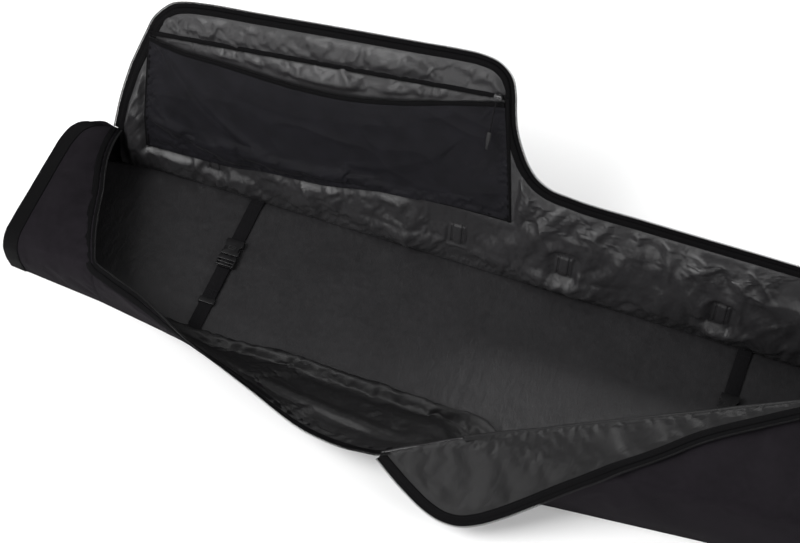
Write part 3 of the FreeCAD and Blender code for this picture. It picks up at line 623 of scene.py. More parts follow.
# darker, less glossy copy of the same lining, with painted shade, for the front wall's lining, the flap and the
# crest roll
LINING_PAINTED_SHADE = cloth_material("lining_cloth_painted_shade", 0.006, 0.010, 0.48, 0.0007, 0.0, depth=0.00004, specular=0.22,
                             tint=(1.0, 0.97, 1.03), crinkle=0.0006)
WEBBING = ribbed_material("webbing", 0.004, 0.011, 0.0022)
BINDING = ribbed_material("binding_tape", 0.002, 0.005, 0.0014, rough=0.7)
TAPE = ribbed_material("zipper_tape", 0.002, 0.005, 0.0009, rough=0.7, depth=0.00015)
THREAD = ribbed_material("thread", 0.006, 0.014, 0.0005, on_uv=False, rough=0.6, depth=0.0001)
COIL = moulded_material("zipper_coil", 0.003, 0.007, 0.42, 0.00001, 0.25)
PLASTIC = moulded_material("buckle_plastic", 0.004, 0.008, 0.40, 0.00003, 0.35)
METAL = moulded_material("black_enamel", 0.008, 0.014, 0.32, 0.00001, 0.5, coat=0.2)
RUBBER = moulded_material("pull_rubber", 0.006, 0.012, 0.55, 0.00004, 0.3)
CORD = ribbed_material("braided_cord", 0.004, 0.012, 0.0012, on_uv=False, depth=0.0003)
GRIP = cloth_material("grip_cloth", 0.005, 0.010, 0.7, 0.0014, 0.02, depth=0.0002, specular=0.06)
MESH = mesh_material()

# ---------------------------------------------------------------------------------------------
# Zippers, seams and stitching
# ---------------------------------------------------------------------------------------------
RING_SIDES, RING_STEPS = 5, 6


def coil_tooth(reach=3.0, wire=0.62, rise=1.0):
    """One turn of a zipper coil: out over the tape's edge and back under it."""
    angle = np.linspace(-0.5 * math.pi, 0.5 * math.pi, RING_STEPS)
    line = [(-0.6, 0.0, rise)] + [(0.0, reach * 0.62 + rise * math.cos(a), -rise * math.sin(a)) for a in angle]
    line.append((0.6, 0.0, -rise))
    line = np.array(line)
    tangent = unit(np.gradient(line, axis=0))
    side = unit(np.cross(tangent, (1.0, 0.0, 0.0)))
    other = np.cross(tangent, side)
    turn = np.linspace(0, 2 * math.pi, RING_SIDES, endpoint=False)
    rings = (line[:, None] + wire * (np.cos(turn)[None, :, None] * side[:, None]
                                     + np.sin(turn)[None, :, None] * other[:, None]))
    return rings.reshape(-1, 3), tube_faces(len(line), RING_SIDES)


def coil(name, path, out, up, pitch=2.5, reach=3.0, wire=0.62, rise=1.0):
    """Zipper coil along an edge; out points away from the tape and up is its outer face."""
    path, out, up = even(path, pitch, out, up)
    along = unit(np.gradient(path, axis=0))
    out = unit(out - along * np.sum(out * along, -1, keepdims=True))
    verts, faces = coil_tooth(reach, wire, rise)
    return copies(name, verts, faces, path, along, out, np.cross(along, out), COIL)


STITCH = np.array([(x, y, z) for x, s in ((-1.5, 0.12), (-0.9, 0.32), (0.9, 0.32), (1.5, 0.12))
                   for y, z in ((-s, 0), (0, s), (s, 0), (0, -s))])
STITCH_FACES = [(k * 4 + j, k * 4 + (j + 1) % 4, (k + 1) * 4 + (j + 1) % 4, (k + 1) * 4 + j)
                for k in range(3) for j in range(4)] + [(3, 2, 1, 0), (12, 13, 14, 15)]


def stitches(name, path, up, lift=0.25, pitch=4.4):
    """Row of lockstitch threads lying on a surface."""
    path, up = even(path, pitch, up)
    along = unit(np.gradient(path, axis=0))
    return copies(name, STITCH, STITCH_FACES, path + up * lift, along, unit(np.cross(up, along)), up, THREAD)


def repaint(name, material):
    """Another material on a CAD node that stays."""
    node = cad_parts[name]
    node.data.materials.clear()
    node.data.materials.append(material)


def finish_piece(obj, body, slot, *nodes):
    """The piece rides on its body and stands for CAD nodes; slot is not used."""
    if body:
        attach(obj, body)
    if nodes:
        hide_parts(*nodes)
    return obj


# ---------------------------------------------------------------------------------------------
# Lid: coordinates are place along the bag, distance from the fold, and height on the outer side
# ---------------------------------------------------------------------------------------------
LID_OPEN = math.radians(110)
TWIST = (540.0, 700.0)          # where the lid's narrow end turns down to the closed zipper
FOLD_X = [-748, -722, -690, 690, 840]
FOLD_Y = [158, 164.5, 170, 170, 161]
FOLD_Z = [100, 124, 150, 150, 107]
CORNER_FADE = 95.0
FLUSH = 3.5


def smoothstep(t):
    """Smooth rise from 0 to 1."""
    t = np.clip(t, 0, 1)
    return t * t * (3 - 2 * t)


def lid_at(x, d, h):
    """Point of the lid in the bag's frame, with its droop at the left corner and twist at the right."""
    x, d, h = np.broadcast_arrays(*(np.asarray(a, float) for a in (x, d, h)))
    angle = LID_OPEN * (1 - smoothstep((x - TWIST[0]) / (TWIST[1] - TWIST[0])))
    near = np.where(x < -690, np.clip(1 - d / CORNER_FADE, 0, 1), 1.0)
    y0 = 170 + (np.interp(x, FOLD_X, FOLD_Y) - 170) * near
    z0 = 150 + (np.interp(x, FOLD_X, FOLD_Z) - 150) * near
    h = h - FLUSH * smoothstep((x - 600) / 100)
    return np.stack([x, y0 - np.cos(angle) * d + np.sin(angle) * h,
                     z0 + np.sin(angle) * d + np.cos(angle) * h], -1)


LEFT_EDGE = [(-748, 0), (-737, 38), (-722, 80), (-706, 126), (-692, 165), (-680, 196), (-667, 214)]
FREE_EDGE = [(-667, 214), (-650, 230), (-626, 239), (-600, 244), (-500, 256), (-350, 274), (-200, 291),
             (-140, 298), (-104, 300), (-76, 295), (-58, 280), (-49, 255), (-43, 220), (-35, 186), (-20, 150), (-3, 120),
             (18, 97), (46, 82), (90, 76), (220, 75), (400, 76), (540, 77), (620, 80), (700, 82), (840, 80)]
# share of the columns, place at the fold, and place on the free edge counted in its points
COLUMNS = [(0.0, -748, 0), (0.37, -170, 7), (0.42, -105, 9.3), (0.50, -30, 14), (0.56, 40, 17.2), (1.0, 840, 24)]
LID_COLUMNS, LID_ROWS, WALL_ROWS = 251, 33, 19
HINGE_SMOOTHING = 5             # passes that round the skin over the fold
WALL_HEIGHT, WALL_FOOT = 140.0, 10.0
# the back wall's lining bunches over the floor's edge: share of the height, and reach inwards
WALL_BOW = [(0.0, 6.0), (0.10, 10.5), (0.25, 11.5), (0.45, 8.5), (0.75, 3.5), (1.0, 0.0)]


def lid_plan():
    """Columns and rows of the lid as (place along, distance from the fold)."""
    dense, arc = dense_curve(FREE_EDGE)
    knots = np.array([arc[np.argmin(np.linalg.norm(dense - np.array(p), axis=1))] for p in FREE_EDGE])
    share = np.linspace(0, 1, LID_COLUMNS)
    keys = np.array(COLUMNS)
    fold_x = np.interp(share, keys[:, 0], keys[:, 1])
    where = np.interp(np.interp(share, keys[:, 0], keys[:, 2]), np.arange(len(FREE_EDGE)), knots)
    kernel = np.ones(9) / 9
    for a in (fold_x, where):
        a[4:-4] = np.convolve(a, kernel, "valid")
    top = at_arc(dense, arc, where)
    v = np.linspace(0, 1, LID_ROWS)
    left = curve(LEFT_EDGE, LID_ROWS)
    chord = np.outer(1 - v, LEFT_EDGE[0]) + np.outer(v, LEFT_EDGE[-1])
    fold = np.stack([fold_x, np.zeros(LID_COLUMNS)], -1)
    plan = fold[:, None] * (1 - v)[None, :, None] + top[:, None] * v[None, :, None]
    plan += (left - chord)[None] * ((1 - share) ** 6)[:, None, None]
    return plan


def wall_at(x, z, depth):
    """Point in front of the back wall's inner face."""
    fold_y, fold_z = np.interp(x, FOLD_X, FOLD_Y), np.interp(x, FOLD_X, FOLD_Z)
    share = (z - WALL_FOOT) / (fold_z - WALL_FOOT)
    dense, _ = dense_curve(WALL_BOW)
    bow = np.interp(share, dense[:, 0], dense[:, 1])
    return np.stack([x + 0 * z, fold_y - depth - bow, z + 0 * x], -1)


def inner_at(x, d, depth):
    """Point in front of the inner skin: on the lid, or down the wall where d is negative."""
    x, d, depth = np.broadcast_arrays(*(np.asarray(a, float) for a in (x, d, depth)))
    wall = wall_at(x, np.interp(x, FOLD_X, FOLD_Z) + np.minimum(d, 0), depth)
    return np.where((d < 0)[..., None], wall, lid_at(x, np.maximum(d, 0), -depth))


PLAN = lid_plan()
MOUTH = [(-694, 160), (-640, 155), (-560, 156), (-430, 155), (-330, 162), (-220, 186), (-130, 212), (-52, 232)]
POCKET_LEFT, POCKET_RIGHT_TOP, POCKET_RIGHT_FOOT = -694, -50, -8
POCKET_TAPE = ((-694, 172), (-50, 246))
POCKET_FOOT = [(-694, -72), (-620, -68), (-527, -62), (-460, -48), (-360, -38), (-240, -8), (-120, 6), (-8, 10)]
PATCHES = (-561, -98, 98, 380)
SEAM_COLUMN = 133               # the lid's two cuts of cloth meet here
LINING_DEPTH = -2.0


def wrinkled(grid, seed, fine=0.5, crease=1.1, keep=None, coords=None, size=46.0):
    """Finer grid with creases along its normals; keep is 0 where the cloth is held flat."""
    coords = grid * np.array([1.0, 1.0, 0.55]) if coords is None else coords
    grid, coords = refined(grid), refined(coords)
    weight = 1.0 if keep is None else refined(keep[..., None])[..., 0]
    warped = coords + 0.18 * size * noise(coords, size * 1.1, seed + 4, 2)[..., None]
    push = (crease * (ridges(warped, size, seed) + 0.5 * ridges(warped, size * 0.47, seed + 1))
            + fine * noise(coords, size * 0.35, seed + 9, 2))
    return grid + grid_normals(grid) * (push * weight)[..., None]


def hold_edges(n, m, cells=2):
    """Weights that are 0 on all edges of a grid and 1 inside."""
    return 1 - edge_pins(n, m, ("start", "end", "low", "high"), cells)


def hem_distance(grid):
    """Distance of each point from the grid's last column and from its first row."""
    return np.minimum(np.linalg.norm(grid - grid[:, -1:], axis=-1), np.linalg.norm(grid - grid[:1], axis=-1))


def back_skin():
    """Inner skin in one sheet: up the back wall, over the fold and out to the lid's free edge."""
    lid = lid_at(PLAN[..., 0], PLAN[..., 1], LINING_DEPTH)
    x = PLAN[:, 0, 0]
    fold_z = lid[:, 0, 2]
    share = np.linspace(0, 1, WALL_ROWS)[None, :-1]
    height = WALL_FOOT + (fold_z - WALL_FOOT)[:, None] * share
    wall = wall_at(np.repeat(x[:, None], WALL_ROWS - 1, 1), height, 2.0)
    base = np.concatenate([wall, lid], 1)
    n, m = base.shape[:2]
    below = np.stack([wall[..., 0], np.repeat(-(1 - share) * WALL_HEIGHT, n, 0)], -1)
    plan = np.concatenate([below, PLAN], 1)
    along, away = plan[..., 0], plan[..., 1]
    pin = edge_pins(n, m, ("start", "end", "low", "high"), 1)
    pin[:, WALL_ROWS - 1] = np.maximum(pin[:, WALL_ROWS - 1], 0.3)
    for patch in PATCHES:
        inside = (np.abs(along - patch) < 19) & (away > -92) & (away < -30)
        pin[inside] = np.maximum(pin[inside], 0.8)
    (x0, d0), (x1, d1) = POCKET_TAPE
    on_pocket = (along > x0 - 4) & (along < x1 + 4)
    tape = d0 + (d1 - d0) * (along - x0) / (x1 - x0)
    pin[on_pocket & (np.abs(away - tape) < 6)] = 0.9
    foot = np.interp(along, *np.array(POCKET_FOOT, float).T)
    pin[on_pocket & (along < POCKET_RIGHT_FOOT) & (np.abs(away - foot) < 5)] = 0.6
    skin = drape(base, pin, 0.026, frames=22, bend=0.3, cap=8.0, seed=3)
    inward = grid_normals(base)
    mouth = np.interp(along, *np.array(MOUTH, float).T)
    covered = (smoothstep((along - POCKET_LEFT + 12) / 10) * smoothstep((POCKET_RIGHT_FOOT + 12 - along) / 10)
               * smoothstep((away - foot + 16) / 12) * smoothstep((mouth + 18 - away) / 14))
    rise = np.sum((skin - base) * inward, -1)
    skin = skin - inward * (np.maximum(rise - 0.4, 0) * covered)[..., None]
    hinge = WALL_ROWS - 1
    for _ in range(HINGE_SMOOTHING):
        skin[:, hinge - 4:hinge + 5] = (skin[:, hinge - 5:hinge + 4] + 2 * skin[:, hinge - 4:hinge + 5]
                                        + skin[:, hinge - 3:hinge + 6]) / 4
    spread = np.interp(away, [-40, 60, 160], [0.5, 0.6, 1.0])
    keep = hold_edges(n, m) * (1 - 0.7 * covered) * 0.9 / spread
    coords = np.stack([along * spread, away * 0.45 * spread, 0 * away], -1)
    taped = (np.exp(-((away - tape) / 12) ** 2) * smoothstep((along - x0 + 10) / 8)
             * smoothstep((x1 + 10 - along) / 8))
    pressed = np.maximum(covered, taped)
    for patch in PATCHES:
        near = np.maximum(np.abs(along - patch) - 17, 0) + np.maximum(np.abs(away + 62) - 26, 0)
        pressed = np.maximum(pressed, np.exp(-(near / 9) ** 2))
    keep = keep * (1 - 0.7 * (pressed - covered))
    loose = refined((keep * (1 - pressed))[..., None])[..., 0]
    under = refined(pressed[..., None])[..., 0]
    skin = wrinkled(skin, 5, fine=0.4, crease=-1.2, keep=keep, coords=coords, size=30.0)
    flat = refined(base)
    inward = grid_normals(flat)
    place = refined(np.stack([along, away, 0 * away], -1))
    slant = np.stack([0.8 * place[..., 0] + 0.6 * place[..., 1],
                      0.5 * (0.8 * place[..., 1] - 0.6 * place[..., 0]), place[..., 2]], -1)
    folds = (6.5 * ridges(slant + 14 * noise(slant, 60, 75, 2)[..., None], 95, 71)
             + 3.0 * noise(slant, 130, 73, 2))
    rise = np.sum((skin - flat) * inward, -1)
    wanted = rise + folds * loose + 4.0 * (1 - under) - 0.5
    held = -0.6 + np.log1p(np.exp(1.4 * np.minimum(wanted + 0.6, 20))) / 1.4
    hem = hem_distance(flat)
    held = held * smoothstep((hem - 9) / 16) - 0.6 * (1 - smoothstep((hem - 9) / 16))
    return skin + inward * (held - rise)[..., None], base


def make_back():
    """Back wall and lid: shells, linings and the zipper on the lid's free edge."""
    skin, base = back_skin()
    hinge, seam = 2 * (WALL_ROWS - 1), 2 * SEAM_COLUMN
    normal = grid_normals(skin)
    wall = slab("back_lining", skin[:, :hinge + 1], LINING, 0.4, 0.4, normal[:, :hinge + 1])
    finish_piece(wall, "bag", "lining")
    outer = refined(lid_at(PLAN[..., 0], PLAN[..., 1], 4.0))
    belly = refined(hold_edges(*PLAN.shape[:2], 4)[..., None])[..., 0]
    puff = (2.2 + noise(outer, 120, 21) * 2.2 + ridges(outer, 150, 8) * 1.4) * belly
    puff = puff * np.interp(outer[..., 0], [540, 620], [1.0, 0.3])
    outer = outer - grid_normals(outer) * puff[..., None]
    shading = grid_normals(outer)
    base = refined(base[:, WALL_ROWS - 1:])
    for side, columns in (("left", slice(0, seam + 1)), ("right", slice(seam, None))):
        lining = slab("lid_lining_" + side, skin[columns, hinge:], LINING, 0.4, 0.4, normal[columns, hinge:])
        shell = slab("lid_shell_" + side, outer[columns], SHELL, 0.5, 0.5, shading[columns])
        edge, inner, back = base[columns, -1], base[columns, -3], outer[columns, -1]
        if side == "left":
            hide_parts("lid_panel")
            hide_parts("lid_lining")
            edge = np.concatenate([base[0, :-1], edge])
            inner = np.concatenate([base[2, :-1], inner])
            back = np.concatenate([outer[0, :-1], back])
        rim = zip_edge("lid_edge_" + side, (edge + back) / 2, edge - inner, back - edge, 4.2)
        if side == "left":
            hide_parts("lid_zip_tape")
        for obj in (lining, shell, *rim):
            if side == "left":
                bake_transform(obj)
            else:
                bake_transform(obj)
    make_back_shell()


def zip_edge(name, path, away, up, half, inset=0.0):
    """Finished edge of a zipped cloth: folded hem, tape with the coil on its edge, and topstitching."""
    path, away, up = even(path, 3.0, away, up)
    along = unit(np.gradient(path, axis=0))
    away = unit(away - along * np.sum(away * along, -1, keepdims=True))
    up = up - along * np.sum(up * along, -1, keepdims=True)
    up = unit(up - away * np.sum(up * away, -1, keepdims=True))
    path = path - away * inset
    corner = [(-9.0, 0.72), (-7.5, 0.9), (-3.0, 1.0), (0.6, 0.92), (2.2, 0.6), (2.8, 0.0)]
    roll = [(x, -half * h) for x, h in corner] + [(x, half * h) for x, h in reversed(corner[:-1])]
    hem = sweep(name + "_hem", path, away, up, np.array(roll), BINDING)
    tape = sweep(name + "_tape", path + away * 5.5, away, up, strip_profile(9, 1.0), TAPE)
    teeth = coil(name + "_coil", path + away * 9.6, away, up)
    rows = [stitches("row", path - away * 6.0 + up * (s * half * 0.94), up * s, 0.15) for s in (-1, 1)]
    rows = join(name + "_stitch", rows)
    return hem, tape, teeth, rows


BACK_STATIONS = [(-748, 159, 100), (-722, 164.5, 124), (-690, 170, 150), (-400, 170, 150), (0, 170, 150),
                 (400, 170, 150), (690, 170, 150), (770, 166, 128), (840, 161, 107)]
BACK_CORNER = [(-838, 143, 1.5), (-832, 148, 36), (-820, 152, 72), (-806, 153, 100)]
BACK_NEAR_CORNER = [(-790, 151, 1.5), (-788, 156, 36), (-782, 157, 74), (-776, 156, 110)]
BACK_N, BACK_M = 241, 31


def make_back_shell():
    """Outer face of the back wall, soft and slightly bowed, rounded into the left end."""
    sections = [[(x, y - 1, 1.5), (x, y + 2.5, high * 0.3), (x, y + 2.5, high * 0.65), (x, y, high)]
                for x, y, high in BACK_STATIONS]
    places = [-822, -784] + [s[0] for s in BACK_STATIONS]
    grid = loft([BACK_CORNER, BACK_NEAR_CORNER] + sections, places, BACK_N, BACK_M)
    push = (noise(grid, 90, 31) * 1.8 + ridges(grid, 120, 12) * 1.2) * hold_edges(BACK_N, BACK_M, 4)
    for ring in (PATCHES[0], PATCHES[-1]):
        push = push * smoothstep((np.abs(grid[..., 0] - ring) - 36) / 40)
    grid = grid + np.array([0, 1.0, 0]) * push[..., None]
    finish_piece(slab("back_shell", grid, SHELL), "bag", "shell", "back_wall")


# ---------------------------------------------------------------------------------------------
# Front: wall and deck
# ---------------------------------------------------------------------------------------------
# place along, then outer skin points (across, up) from foot to rim: the wall slumps outwards beside the
# opening and rises again to the post, where the flap turns over it
FRONT_LEFT = [
    (-655, [(-140, 1.5), (-149, 42), (-153, 84), (-149, 108), (-141, 124)]),
    (-560, [(-154, 1.5), (-165, 42), (-178, 78), (-184, 100), (-174, 119)]),
    (-445, [(-170, 1.5), (-186, 36), (-202, 66), (-214, 93), (-221, 113)]),
    (-320, [(-179, 1.5), (-201, 30), (-222, 56), (-240, 74), (-256, 92)]),
    (-200, [(-188, 1.5), (-214, 27), (-240, 48), (-265, 60), (-288, 72)]),
    (-130, [(-198, 1.5), (-223, 28), (-250, 48), (-274, 62), (-297, 78)]),
    (-64, [(-208, 1.5), (-232, 36), (-258, 66), (-282, 88), (-303, 106)]),
    (0, [(-222, 1.5), (-241, 44), (-257, 84), (-269, 108), (-279, 129)]),
]
FOLD_A, FOLD_B = np.array([60.0, -255.0]), np.array([690.0, 72.0])
POST_X, TAIL_X = 60.0, 840.0
FRONT_FOOT = [(60, -236), (110, -245), (172, -250), (300, -237), (460, -220), (690, -202), (840, -188)]
DECK_TOP = [(60, 149), (90, 148), (690, 147), (840, 107)]
# the lining lies slack inside: from the floor over a first ridge, up the slope to a second one, to the rim
LINING_LEFT = [
    (-655, [(-124, 10.5), (-130, 15), (-136, 20), (-142, 38), (-146, 58),
            (-148, 80), (-147, 96), (-143, 110), (-137, 121)]),
    (-560, [(-134, 10.5), (-140, 18), (-147, 20), (-156, 40), (-165, 60),
            (-172, 80), (-177, 94), (-178, 104), (-171, 116)]),
    (-445, [(-138, 10.5), (-148, 24), (-160, 16), (-177, 34), (-188, 52),
            (-199, 74), (-206, 82), (-211, 96), (-217, 110)]),
    (-320, [(-132, 10.5), (-142, 26), (-157, 14), (-180, 27), (-198, 42),
            (-219, 61), (-228, 63), (-240, 78), (-253, 91)]),
    (-200, [(-130, 10.5), (-141, 26), (-157, 13), (-184, 26), (-210, 41),
            (-235, 61), (-244, 58), (-263, 65), (-285, 75)]),
    (-130, [(-130, 10.5), (-142, 26), (-158, 13), (-188, 29), (-216, 46),
            (-245, 68), (-254, 64), (-272, 73), (-294, 82)]),
    (-64, [(-132, 10.5), (-144, 26), (-160, 13), (-192, 32), (-220, 50),
           (-250, 72), (-259, 73), (-277, 90), (-299, 108)]),
    (0, [(-134, 10.5), (-146, 26), (-162, 13), (-196, 34), (-222, 52),
         (-246, 76), (-256, 88), (-266, 107), (-276, 130)]),
]
RIDGE_REACH = [(60, 92), (172, 60), (460, 24), (690, 8), (840, 6)]
FRONT_N, FRONT_M = 189, 47
FRONT_LINING = 4.0


def fold_y(x):
    """The flap's fold line, then the closed zipper beyond its end."""
    return np.interp(x, [FOLD_A[0], FOLD_B[0], 705, TAIL_X], [FOLD_A[1], FOLD_B[1], 78, 78])


def deck_section(x):
    """Outer skin right of the post: up the belly, round the front edge and across the deck to the fold."""
    foot, back = np.interp(x, *np.array(FRONT_FOOT, float).T), float(fold_y(x))
    top = np.interp(x, *np.array(DECK_TOP, float).T)
    face = min(foot - 4, back)
    run = max(back - face, 2.0)
    turn = min(24.0, run * 0.8)
    lean = 3.0 * min(run / 40, 1)
    return [(x, foot, 1.5), (x, foot - 9, top * 0.31), (x, face - lean - 2, top * 0.64),
            (x, face, top - turn * 0.8 - 3),
            (x, face + turn * 0.25, top - turn * 0.22 - 0.6), (x, face + turn, top),
            (x, face + turn + (run - turn) * 0.5, top + 0.2), (x, face + run, top)]


def deck_lining(x):
    """Lining right of the post: a ridge beside the floor, then up the belly and under the deck."""
    reach = np.interp(x, *np.array(RIDGE_REACH, float).T)
    outer = deck_section(x)
    foot = outer[0][1]
    inner = [(x, min(y + FRONT_LINING, foot + 200), z - FRONT_LINING * (z > 120)) for _, y, z in outer[2:-1]]
    return [(x, foot + reach + 8, 10.5), (x, foot + reach, 24 if reach > 40 else 16),
            (x, foot + reach * 0.82, 14), (x, foot + 4 + reach * 0.2, 15), (x, foot - 3, 34)] + inner + [
            (x, outer[-1][1] + 0.5, outer[-1][2] - FRONT_LINING)]


def make_front():
    """Front wall and deck: shell and lining, from the left seam to the right end."""
    sections = [[(x, y, z) for y, z in section] for x, section in FRONT_LEFT]
    places = [x for x, _ in FRONT_LEFT]
    post_on = [POST_X, 75, 95, 120, 150, 185, 225, 270, 330, 400, 480, 560, 640, 690, 720, 760, 800, TAIL_X]
    grid = loft(sections + [deck_section(x) for x in post_on], places + post_on, FRONT_N, FRONT_M)
    pin = edge_pins(FRONT_N, FRONT_M, ("start", "end", "low", "high"), 1)
    keep = hold_edges(FRONT_N, FRONT_M, 2)
    out = outwards(grid, (0, 0, 40))
    inside = [[(x, y, z) for y, z in section] for x, section in LINING_LEFT]
    slack = loft(inside + [deck_lining(x) for x in post_on], places + post_on, FRONT_N, FRONT_M)
    facing = outwards(slack, (0, 0, 60))
    lining = drape(slack, pin, 0.022, frames=22, bend=0.4, cap=6, seed=6)
    through = np.sum((lining - slack) * facing, -1)
    lining = lining - facing * np.maximum(through - 0.8, 0)[..., None]
    calm = keep * np.interp(slack[..., 0], [40, 110], [1.0, 0.25])
    lining = wrinkled(lining, 14, fine=0.3, crease=-1.1, keep=calm, size=52.0)
    flat = refined(slack)
    facing = outwards(flat, (0, 0, 60))
    through = np.sum((lining - flat) * facing, -1)
    allowed = np.interp(flat[..., 0], [40, 110], [1.5, 0.0])
    lining = lining - facing * np.maximum(through - allowed, 0)[..., None]
    # front lining in the darker copy of the lining: painted shade
    finish_piece(slab("front_lining", lining, LINING_PAINTED_SHADE, 0.4, 0.4), "bag", "lining")
    shell = drape(grid, pin, 0.005, frames=14, bend=4.0, cap=3.5, seed=9)
    sunk = -np.sum((shell - grid) * out, -1)
    shell = shell + out * np.maximum(sunk - 0.8, 0)[..., None]
    x = grid[..., 0]
    deck = grid[..., 1] > np.interp(x, *np.array(FRONT_FOOT, float).T) + 25
    shell[..., 2] = np.where(deck & (x > POST_X), np.minimum(shell[..., 2], grid[..., 2] + 0.8), shell[..., 2])
    shell = wrinkled(shell, 17, fine=0.15, crease=-0.5, keep=keep, size=110.0)
    finish_piece(slab("front_shell", shell, SHELL), "bag", "shell", "front_wall_middle", "front_wall_right",
                 "front_deck", "right_deck")


def outwards(grid, reference):
    """Unit normals turned away from a reference point."""
    normal = grid_normals(grid)
    facing = np.sum(normal * (grid - np.array(reference, float)), -1)
    return normal * np.sign(np.mean(facing))


# ---------------------------------------------------------------------------------------------
# Closed ends
# ---------------------------------------------------------------------------------------------
CAP_EDGE = [(-749, 157, 99), (-745, 124, 112), (-739, 86, 119), (-726, 42, 124), (-712, 5, 125), (-704, -22, 126),
            (-695, -52, 127), (-682, -88, 127), (-668, -118, 126), (-655, -141, 124)]
SEAM_FOOT = [(-655, -149, 108), (-655, -153, 84), (-655, -149, 42), (-655, -140, 1.5)]
END_SECTION = [(-806, 153, 100), (-820, 147, 98), (-831, 132, 98), (-836, 108, 99), (-837, 60, 100),
               (-837, -30, 100), (-838, -88, 98), (-840, -116, 90), (-840, -130, 72), (-840, -132, 48), (-840, -125, 1.5)]
RIGHT_SECTION = [(840, 161, 107), (840, 78, 107), (840, -80, 107), (840, -154, 106), (840, -184, 98),
                 (840, -195, 78), (840, -195, 40), (840, -188, 1.5)]


def cap_grid():
    """Left cap: from the end's section to the zipper edge, on over the seam to the foot."""
    rows = 65
    split = int(rows * 0.70)
    seam = curve([CAP_EDGE[-1]] + SEAM_FOOT, rows - split + 1)[1:]
    far = np.concatenate([curve(CAP_EDGE, split), seam])
    dense, arc = dense_curve(END_SECTION)
    corner = arc[np.argmin(np.abs(dense[:, 1] + 126) + np.abs(dense[:, 2] - 80))]
    where = np.concatenate([np.linspace(0, corner, split), np.linspace(corner, arc[-1], rows - split + 1)[1:]])
    near = at_arc(dense, arc, where)
    u = np.linspace(0, 1, 45)[:, None, None]
    grid = near[None] * (1 - u) + far[None] * u
    share = np.linspace(0, 1, rows)[None, :]
    crown = np.sin(math.pi * u[..., 0]) * np.sin(math.pi * np.clip(share / 0.75, 0, 1)) * 5.0
    return grid + np.array([0, 0, 1.0]) * crown[..., None]


def end_panel(name, section, foot_back, foot_front, bulge):
    """Closed end: a panel spanned between the end's section and the ground line."""
    top = curve(section, 90)
    arc = np.r_[0, np.cumsum(np.linalg.norm(np.diff(top, axis=0), axis=1))]
    t = (arc / arc[-1])[:, None]
    ground = np.array(foot_back) * (1 - t) + np.array(foot_front) * t
    v = np.linspace(0, 1, 15)[None, :, None]
    grid = top[:, None] * (1 - v) + ground[:, None] * v
    puff = np.sin(math.pi * t[:, 0])[:, None] * np.sin(math.pi * v[..., 0])
    grid = grid + np.array([bulge, 0, 0]) * puff[..., None]
    keep = hold_edges(*grid.shape[:2], 2)
    return slab(name, wrinkled(grid, 33, 0.1, 0.4, keep, size=90.0), SHELL)


def end_lining(name, edge, y_range, z_top, seed):
    """Lining inside a closed end, from the line under its top edge down to the floor."""
    count = len(edge)
    floor_line = np.stack([edge[:, 0], np.linspace(y_range[1], y_range[0], count), np.full(count, 8.0)], -1)
    v = np.linspace(0, 1, 13)[None, :, None]
    grid = edge[:, None] * (1 - v) + floor_line[:, None] * v
    grid[..., 1] = np.clip(grid[..., 1], y_range[0] - 5, y_range[1])
    grid[..., 2] = np.clip(grid[..., 2], 6, z_top)
    cloth = wrinkled(grid, seed, 0.4, 1.0, hold_edges(count, 13, 2))
    finish_piece(slab(name, cloth, LINING, 0.4, 0.4), "bag", "lining")


def make_left_end():
    """Closed cap at the left end with its lining, end panel and wide woven binding."""
    grid = cap_grid()
    n, m = grid.shape[:2]
    keep = hold_edges(n, m, 3)
    out = outwards(grid, (-750, 0, 40))
    pin = edge_pins(n, m, ("start", "end", "low", "high"), 2)
    clear = smoothstep((np.linalg.norm(grid - grid[:1], axis=-1) - 26) / 24)
    shell = drape(grid, pin, 0.006, frames=14, bend=4.0, cap=3.0, seed=15)
    shell = grid + (shell - grid) * clear[..., None]
    shell = wrinkled(shell, 41, fine=0.12, crease=-0.5, keep=keep * clear, size=110.0)
    finish_piece(slab("left_cap_shell", shell, SHELL), "bag", "shell", "left_cap_top", "front_wall_left")
    side = -np.sign(np.mean(np.sum(grid_normals(grid) * out, -1)))
    inner = wrinkled(grid - out * 4.5, 43, fine=0.4, crease=1.2 * side, keep=keep)
    inner[..., 2] = np.maximum(inner[..., 2], 6)
    finish_piece(slab("left_cap_lining", inner, LINING, 0.4, 0.4), "bag", "lining")
    panel = end_panel("left_end_shell", END_SECTION, (-838, 143, 1.5), (-840, -125, 1.5), -4.0)
    finish_piece(panel, "bag", "shell", "left_end_panel")
    end_lining("left_end_lining", grid[0] + np.array([6.0, 0, 0]), (-121, 138), 94, 47)
    make_band(grid, out, "left")
    seam = np.array(curve([CAP_EDGE[-1]] + SEAM_FOOT, 40))
    along = unit(np.gradient(seam, axis=0))
    face = np.repeat([[0.0, -1.0, 0.12]], len(seam), 0)
    for k, shift in enumerate((-3.0, 3.0)):
        line = seam + np.cross(face, along) * shift + face * 0.8
        finish_piece(stitches("front_seam_stitch_%d" % k, line, unit(face), 0.2), "bag", "shell")
    across = unit(np.cross(face, along))
    welt = sweep("front_seam", seam + face * 0.3, across, unit(face), round_profile(1.0, 8), SHELL)
    finish_piece(welt, "bag", "shell")


